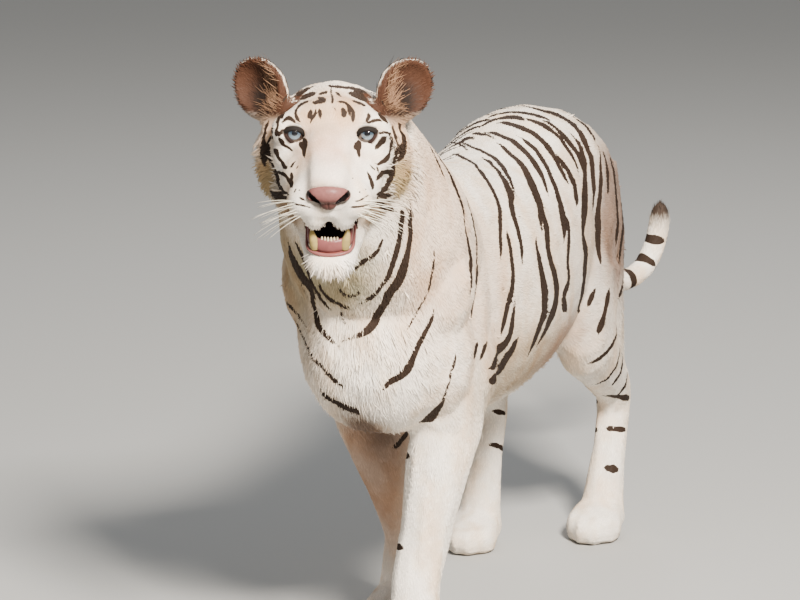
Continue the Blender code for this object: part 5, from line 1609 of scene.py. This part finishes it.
# %% Whiskers
WHISKERS, PAD_ROWS = 15, 4
ALONG, SIDES = 9, 4  # points along a whisker and round it
ROOT_RADIUS, TIP_RADIUS = 0.00085, 0.00025
shape = bmesh.new()
for side in (1, -1):
    for number in range(WHISKERS):
        row, column = number % PAD_ROWS, number // PAD_ROWS
        x = 0.046 + 0.004 * column + rng.normal(0, 0.001)
        z = -0.094 - 0.0085 * row
        y = skin_front(x * side, z) + 0.002
        length = rng.uniform(0.075, 0.115)
        fall = rng.uniform(-0.35, 0.10) - 0.13 * row
        way = unit(np.array((0.92 * side, 0.30 + 0.16 * column, fall)))
        bend = np.array((0, 0.25, -0.42)) * rng.uniform(0.5, 1.3)
        share = np.linspace(0, 1, ALONG)[:, None]
        path = np.array((x * side, y, z)) + way * length * share + bend * length * 0.5 * share ** 2
        radii = np.linspace(ROOT_RADIUS, TIP_RADIUS, ALONG)
        rows = from_head(tube_rows(path, radii, SIDES).reshape(-1, 3))
        verts = [shape.verts.new(p) for p in rows]
        for r in range(ALONG - 1):
            for c in range(SIDES):
                d = (c + 1) % SIDES
                low, high = SIDES * r, SIDES * (r + 1)
                shape.faces.new((verts[low + c], verts[low + d], verts[high + d], verts[high + c]))
        shape.faces.new(verts[SIDES - 1::-1])
        shape.faces.new(verts[-SIDES:])
bmesh.ops.recalc_face_normals(shape, faces=shape.faces)
mesh = bpy.data.meshes.new("whiskers")
shape.to_mesh(mesh)
shape.free()
mesh.shade_smooth()
bristle, shader = principled("whisker", (0.80, 0.74, 0.60), 0.4)
nodes, links = bristle.node_tree.nodes, bristle.node_tree.links
streak = nodes.new("ShaderNodeTexNoise")
streak.inputs["Scale"].default_value = 60
ramp = nodes.new("ShaderNodeValToRGB")
ramp.color_ramp.elements[0].color = (0.66, 0.58, 0.42, 1)
ramp.color_ramp.elements[1].color = (0.90, 0.86, 0.76, 1)
links.new(streak.outputs["Fac"], ramp.inputs["Fac"])
links.new(ramp.outputs["Color"], shader.inputs["Base Color"])
mesh_piece("whiskers", mesh, bristle)
print("whiskers, triangles", triangle_count(mesh))

# %% [markdown]
# ## Locks of hair
# A lock is a thin closed spindle: a point at its root under the skin, a ring of three, and a point at its
# tip. Six small faces are enough when there are many. Strands by the million would be finer, but they can't
# leave the render as solid mesh. Roots are scattered over the skin by area and by a density, and each lock
# takes the lie, length, colour and stripe of the place where it grows.

# %% Scatter the roots
skin_mesh.calc_loop_triangles()
triangles = np.empty(len(skin_mesh.loop_triangles) * 3, dtype=np.int64)
skin_mesh.loop_triangles.foreach_get("vertices", triangles)
triangles = triangles.reshape(-1, 3)
corners = points[triangles]
areas = np.linalg.norm(np.cross(corners[:, 1] - corners[:, 0], corners[:, 2] - corners[:, 0]), axis=1) / 2
centres = corners.mean(1)


BARE_ROUND_EYE = 0.0245


def bare(points):
    """Where no hair grows: eyes, mouth, nose leather and soles."""
    own = in_head(points)
    at_eye = np.linalg.norm(folded(own) - np.array(EYE + EYE_DROP), axis=1) < BARE_ROUND_EYE
    at_nose = np.linalg.norm((own - (0, -0.203, -0.080)) / (0.037, 0.018, 0.021), axis=1) < 1
    return at_eye | at_nose | in_mouth(points) | (points[:, 2] < 0.004)


BODY_DENSITY = 62000.0
MOST_LOCKS = 200000


def hair_density(points):
    """Locks per square metre."""
    own = in_head(points)
    density = np.full(len(points), BODY_DENSITY)
    leg = np.clip((0.46 - points[:, 2]) / 0.12, 0, 1)
    density *= 1 + 0.35 * leg
    foot = np.clip((0.13 - points[:, 2]) / 0.06, 0, 1)
    density *= 1 + 1.2 * foot
    face = np.clip((0.03 - own[:, 1]) / 0.16, 0, 1)
    density *= 1 + on_head(own) * (0.8 + 3.6 * face)
    density[bare(points)] = 0
    return density


def scatter(density, count, seed):
    """Roots and their normals, spread over the skin by area and density."""
    draw = np.random.default_rng(seed)
    weight = np.cumsum(areas * density)
    steps = (np.arange(count) + draw.random(count)) / count * weight[-1]
    chosen = np.searchsorted(weight, steps)
    u, v = draw.random(count), draw.random(count)
    flip = u + v > 1
    u[flip], v[flip] = 1 - u[flip], 1 - v[flip]
    a, b, c = (triangles[chosen, k] for k in range(3))
    shares = np.stack([1 - u - v, u, v], 1)[:, :, None]
    roots = points[a] * shares[:, 0] + points[b] * shares[:, 1] + points[c] * shares[:, 2]
    faces_out = unit(normals[a] * shares[:, 0] + normals[b] * shares[:, 1] + normals[c] * shares[:, 2])
    keep = ~bare(roots)
    return roots[keep], faces_out[keep]


density = hair_density(centres)
wanted = int((areas * density).sum())
roots, root_normals = scatter(density, min(wanted, MOST_LOCKS), 5)
print("area", round(float(areas.sum()), 2), "m2, locks wanted", wanted, "made", len(roots))


# %% [markdown]
# ## Build the locks
# All locks of a piece are made at once as arrays. Their shading normals lean on the skin's, so that the
# coat takes light as one soft surface and not as a heap of needles.

# %% Build the locks
ROOT_DEPTH = 0.0012  # how far a root reaches under the skin
ONE_RING = ((0.36, 1.0),)  # share of the length, and of the width
TWO_RINGS = ((0.26, 1.0), (0.66, 0.75))


def lock_arrays(roots, normals, way, length, width, lift, rings):
    """Vertices and their normals of many spindles, with one ring or two."""
    count = len(roots)
    side = np.cross(normals, way)
    steps = ONE_RING if rings == 1 else TWO_RINGS
    per = 2 + 3 * len(steps)
    verts = np.empty((count, per, 3))
    shading = np.empty((count, per, 3))
    verts[:, 0] = roots - normals * ROOT_DEPTH
    shading[:, 0] = normals

    def rise(share):
        return (lift * length * (share - 0.55 * share * share))[:, None]

    column = 1
    for share, size in steps:
        middle = roots + way * (length * share)[:, None] + normals * rise(share)
        for across, up in ((0.5, 0.0), (0.0, 0.38), (-0.5, 0.0)):
            sideways = side * (across * size * width)[:, None]
            verts[:, column] = middle + sideways + normals * (up * size * width)[:, None]
            shading[:, column] = unit(normals + side * across * 1.3)
            column += 1
    verts[:, column] = roots + way * length[:, None] + normals * rise(1.0)
    shading[:, column] = unit(normals + way * 0.25)
    return verts, shading


def lock_faces(rings):
    """The triangles of one spindle, and where each corner lies on its flat patch."""
    last = 1 + 3 * rings
    faces, patch = [], []
    for j in range(3):
        k = (j + 1) % 3
        left, right, middle = j / 3, (j + 1) / 3, (j + 0.5) / 3
        faces.append((0, 1 + k, 1 + j))
        patch.append(((middle, 0.0), (right, 0.35), (left, 0.35)))
        if rings == 2:
            faces.append((1 + j, 1 + k, 4 + k))
            patch.append(((left, 0.35), (right, 0.35), (right, 0.7)))
            faces.append((1 + j, 4 + k, 4 + j))
            patch.append(((left, 0.35), (right, 0.7), (left, 0.7)))
        faces.append((last, last - 3 + j, last - 3 + k))
        patch.append(((middle, 1.0), (left, 0.7), (right, 0.7)))
    return np.array(faces), np.array(patch)


# %% [markdown]
# ## The flat sheet
# Each lock needs its own small patch on a flat sheet, at its root's place on an unwrap of the skin. The
# lines already give an angle and a length for every root, so each part becomes one column of the sheet.

# %% The flat sheet and one piece of coat
PATCH = 0.003  # how wide a lock's patch is on the sheet


def sheet_places(roots):
    """Each root's place on a flat sheet: a column for each part, unwrapped round the part's line."""
    part, sheet = parts_of(roots)
    present = np.unique(part)
    places = np.zeros((len(roots), 2))
    for column, number in enumerate(present):
        own = part == number
        low, high = sheet[own, 1].min(), sheet[own, 1].max()
        around = (sheet[own, 0] + math.pi) / (2 * math.pi)
        places[own, 0] = (column + 0.02 + 0.96 * around) / len(present)
        places[own, 1] = 0.01 + 0.98 * (sheet[own, 1] - low) / max(high - low, 1e-6)
    return np.clip(places, PATCH, 1 - PATCH)


# Roots are darker: painted shade deep in the coat. Tips are a little lighter.
ROOT_SHADE, TIP_SHADE = 0.88, 1.06


def coat_piece(name, material, roots, normals, way, length, width, lift, shade, rings=1):
    """One piece of coat: its mesh, its stored colours and its flat sheet."""
    verts, shading = lock_arrays(roots, normals, way, length, width, lift, rings)
    faces, patch = lock_faces(rings)
    count, per = verts.shape[:2]
    all_faces = (faces[None] + (np.arange(count) * per)[:, None, None]).reshape(-1, 3)
    mesh = bpy.data.meshes.new(name)
    mesh.vertices.add(count * per)
    mesh.vertices.foreach_set("co", verts.astype(np.float32).ravel())
    mesh.loops.add(all_faces.size)
    mesh.loops.foreach_set("vertex_index", all_faces.astype(np.int32).ravel())
    mesh.polygons.add(len(all_faces))
    mesh.polygons.foreach_set("loop_start", np.arange(0, all_faces.size, 3, dtype=np.int32))
    mesh.update(calc_edges=True)
    mesh.shade_smooth()
    mesh.normals_split_custom_set_from_vertices(shading.reshape(-1, 3).tolist())
    shares = (0.0, *(share for share, _ in (ONE_RING if rings == 1 else TWO_RINGS)), 1.0)
    depth = np.stack([stripe_depth(roots + way * (length * share)[:, None]) for share in shares], 1)
    store(mesh, "depth", "FLOAT", np.repeat(depth, [1] + [3] * rings + [1], axis=1).ravel())
    store(mesh, "ground", "FLOAT_COLOR", np.repeat(ground_colour(roots, normals), per, axis=0))
    ends = np.ones(per)
    ends[0] = ROOT_SHADE
    ends[-1] = TIP_SHADE
    store(mesh, "shade", "FLOAT", (shade[:, None] * ends).ravel())
    layer = mesh.uv_layers.new(name="OFBake")
    flat = sheet_places(roots)[:, None, None, :] + (patch[None] - 0.5) * PATCH
    layer.data.foreach_set("uv", flat.astype(np.float32).ravel())
    piece = mesh_piece(name, mesh, material)
    print(name, "locks", count, "triangles", len(all_faces))
    return piece


# %% [markdown]
# ## The short coat
# The body's own locks lie nearly flat. Waves of noise turn neighbouring locks the same way, so the coat
# falls in clumps and not like bristles on a brush. The coat is cut into pieces by part, which keeps each
# piece small.

# %% Short coat
def turned(way, normals, angle):
    """The lie of the hair turned by an angle within the skin."""
    return way * np.cos(angle)[:, None] + np.cross(normals, way) * np.sin(angle)[:, None]


MOST_IN_A_PIECE = 32500
BODY_PIECES = {
    "coat_face": ("head",), "coat_ears": ("ear_left", "ear_right"), "coat_neck": ("neck",),
    "coat_trunk": ("trunk",), "coat_forelegs": ("foreleg_left", "foreleg_right"),
    "coat_hindlegs": ("hindleg_left", "hindleg_right"), "coat_tail": ("tail",),
}
root_part, _ = parts_of(roots)
way = hair_way(roots, root_normals)
wave = 0.22 * lattice_noise(roots, 0.018, 41) + 0.12 * lattice_noise(roots, 0.006, 42)
way = turned(way, root_normals, wave + rng.normal(0, 0.09, len(roots)))
length = coat_length(roots) * rng.uniform(0.72, 1.18, len(roots))
width = (0.0009 + 0.085 * length) * rng.uniform(0.85, 1.2, len(roots))
lift = 0.13 + 0.07 * lattice_noise(roots, 0.012, 43) + rng.uniform(-0.04, 0.06, len(roots))
shade = np.clip(1 + 0.05 * rng.normal(size=len(roots)) + 0.07 * lattice_noise(roots, 0.010, 44), 0.75, 1.2)
for name, names in BODY_PIECES.items():
    chosen = np.flatnonzero(np.isin(root_part, [PARTS.index(n) for n in names]))
    chosen = chosen[np.argsort(roots[chosen, 1], kind="stable")]
    chunks = np.array_split(chosen, math.ceil(len(chosen) / MOST_IN_A_PIECE))
    for number, some in enumerate(chunks):
        label = name if len(chunks) == 1 else f"{name}_{number + 1}"
        piece = coat_piece(label, hair_material, roots[some], root_normals[some], way[some], length[some],
                           width[some], lift[some], shade[some])

# %% [markdown]
# ## Long hair
# The ruff, chin, breast, belly, elbows and the inner ears carry longer hair that breaks the outline. These
# locks have two rings, so they can droop. Each place below gives how long the hair is, how far it stands
# out and how many locks grow there.

# %% Long coat
LONG_ON_HEAD = (  # place with x for both sides, radii, length, lift, locks per square metre
    ((0.112, 0.010, -0.115), (0.030, 0.050, 0.055), 0.032, 0.30, 150000),
    ((0.092, -0.020, -0.165), (0.030, 0.050, 0.030), 0.030, 0.26, 110000),
    ((0.000, -0.130, -0.245), (0.045, 0.050, 0.022), 0.022, 0.45, 120000),
    ((0.000, -0.060, -0.270), (0.060, 0.060, 0.030), 0.030, 0.45, 60000),
    ((0.030, -0.172, -0.152), (0.024, 0.020, 0.010), 0.010, 0.70, 260000),
    ((0.106, 0.005, 0.028), (0.014, 0.020, 0.014), 0.022, 0.34, 260000),
    ((0.110, 0.015, 0.052), (0.012, 0.022, 0.026), 0.036, 0.20, 120000),
)
LONG_ON_BODY = (
    ((0.00, -0.64, 0.64), (0.10, 0.10, 0.13), 0.028, 0.28, 26000),
    ((0.00, -0.05, 0.46), (0.11, 0.34, 0.05), 0.030, 0.30, 26000),
    ((0.10, -0.32, 0.52), (0.07, 0.06, 0.08), 0.024, 0.30, 22000),
    ((0.13, 0.52, 0.52), (0.06, 0.08, 0.12), 0.022, 0.28, 14000),
    ((0.117, 0.95, 0.64), (0.04, 0.04, 0.04), 0.018, 0.40, 40000),
)


MOST_LONG_LOCKS = 18000
SPARSEST = 3000  # fewer locks than this in a square metre are left out
EAR_HAIR_BROWN = (0.17, 0.095, 0.055)


def long_hair(points):
    """Density, length and lift of the long hair at each point."""
    density = np.zeros(len(points))
    length = np.zeros(len(points))
    lift = np.zeros(len(points))
    for places, spots in ((LONG_ON_HEAD, in_head(points)), (LONG_ON_BODY, points)):
        for place, radii, size, stand, many in places:
            share = blob(folded(spots), np.array(place), np.array(radii))
            density += share * many
            length += share * many * size
            lift += share * many * stand
    whole = np.maximum(density, 1e-6)
    density = np.where(density > SPARSEST, density, 0)
    density[bare(points)] = 0
    return density, length / whole, lift / whole


# %% [markdown]
# ## Plant the long hair
# The roots are scattered as before, with random draws of their own. In the ears the hair is brown and
# sweeps up and out, instead of running along the lines.

# %% Plant the long hair
density, _, _ = long_hair(centres)
wanted = int((areas * density).sum())
long_roots, long_normals = scatter(density, min(wanted, MOST_LONG_LOCKS), 8)
_, size, stand = long_hair(long_roots)
draw = np.random.default_rng(9)
long_way = hair_way(long_roots, long_normals)
own = in_head(long_roots)
from_midline = np.abs(own[:, 0])
in_ear = (from_midline > 0.085) & (own[:, 2] > 0.010) & (own[:, 1] < 0.06) & (from_midline < 0.14)
sweep = unit(np.stack([np.sign(own[:, 0]) * 0.80, np.full(len(own), -0.15), np.full(len(own), 0.55)], 1))
sweep = sweep @ np.array(HEAD.to_3x3().normalized()).T
sweep -= (sweep * long_normals).sum(1)[:, None] * long_normals
long_way = np.where(in_ear[:, None], unit(sweep), long_way)
wave = 0.25 * lattice_noise(long_roots, 0.012, 46) + draw.normal(0, 0.16, len(own))
long_way = turned(long_way, long_normals, wave)
size = size * draw.uniform(0.6, 1.15, len(size))
stand = stand * draw.uniform(0.5, 1.4, len(size))
thick = (0.0007 + 0.035 * size) * draw.uniform(0.8, 1.2, len(size))
thick = thick * np.where(in_ear, 0.5, 1.0)
tone = np.clip(1 + 0.07 * draw.normal(size=len(size)), 0.75, 1.25)
print("long locks wanted", wanted, "made", len(long_roots), "in the ears", int(in_ear.sum()))
coat_long = coat_piece("coat_long", hair_material, long_roots, long_normals, long_way, size, thick, stand,
                       tone, rings=2)
brown = np.repeat(in_ear, 2 + 3 * len(TWO_RINGS))
tints = np.empty(len(brown) * 4, dtype=np.float32)
coat_long.data.attributes["ground"].data.foreach_get("color", tints)
tints = tints.reshape(-1, 4)
tints[brown, :3] = EAR_HAIR_BROWN
coat_long.data.attributes["ground"].data.foreach_set("color", tints.ravel())
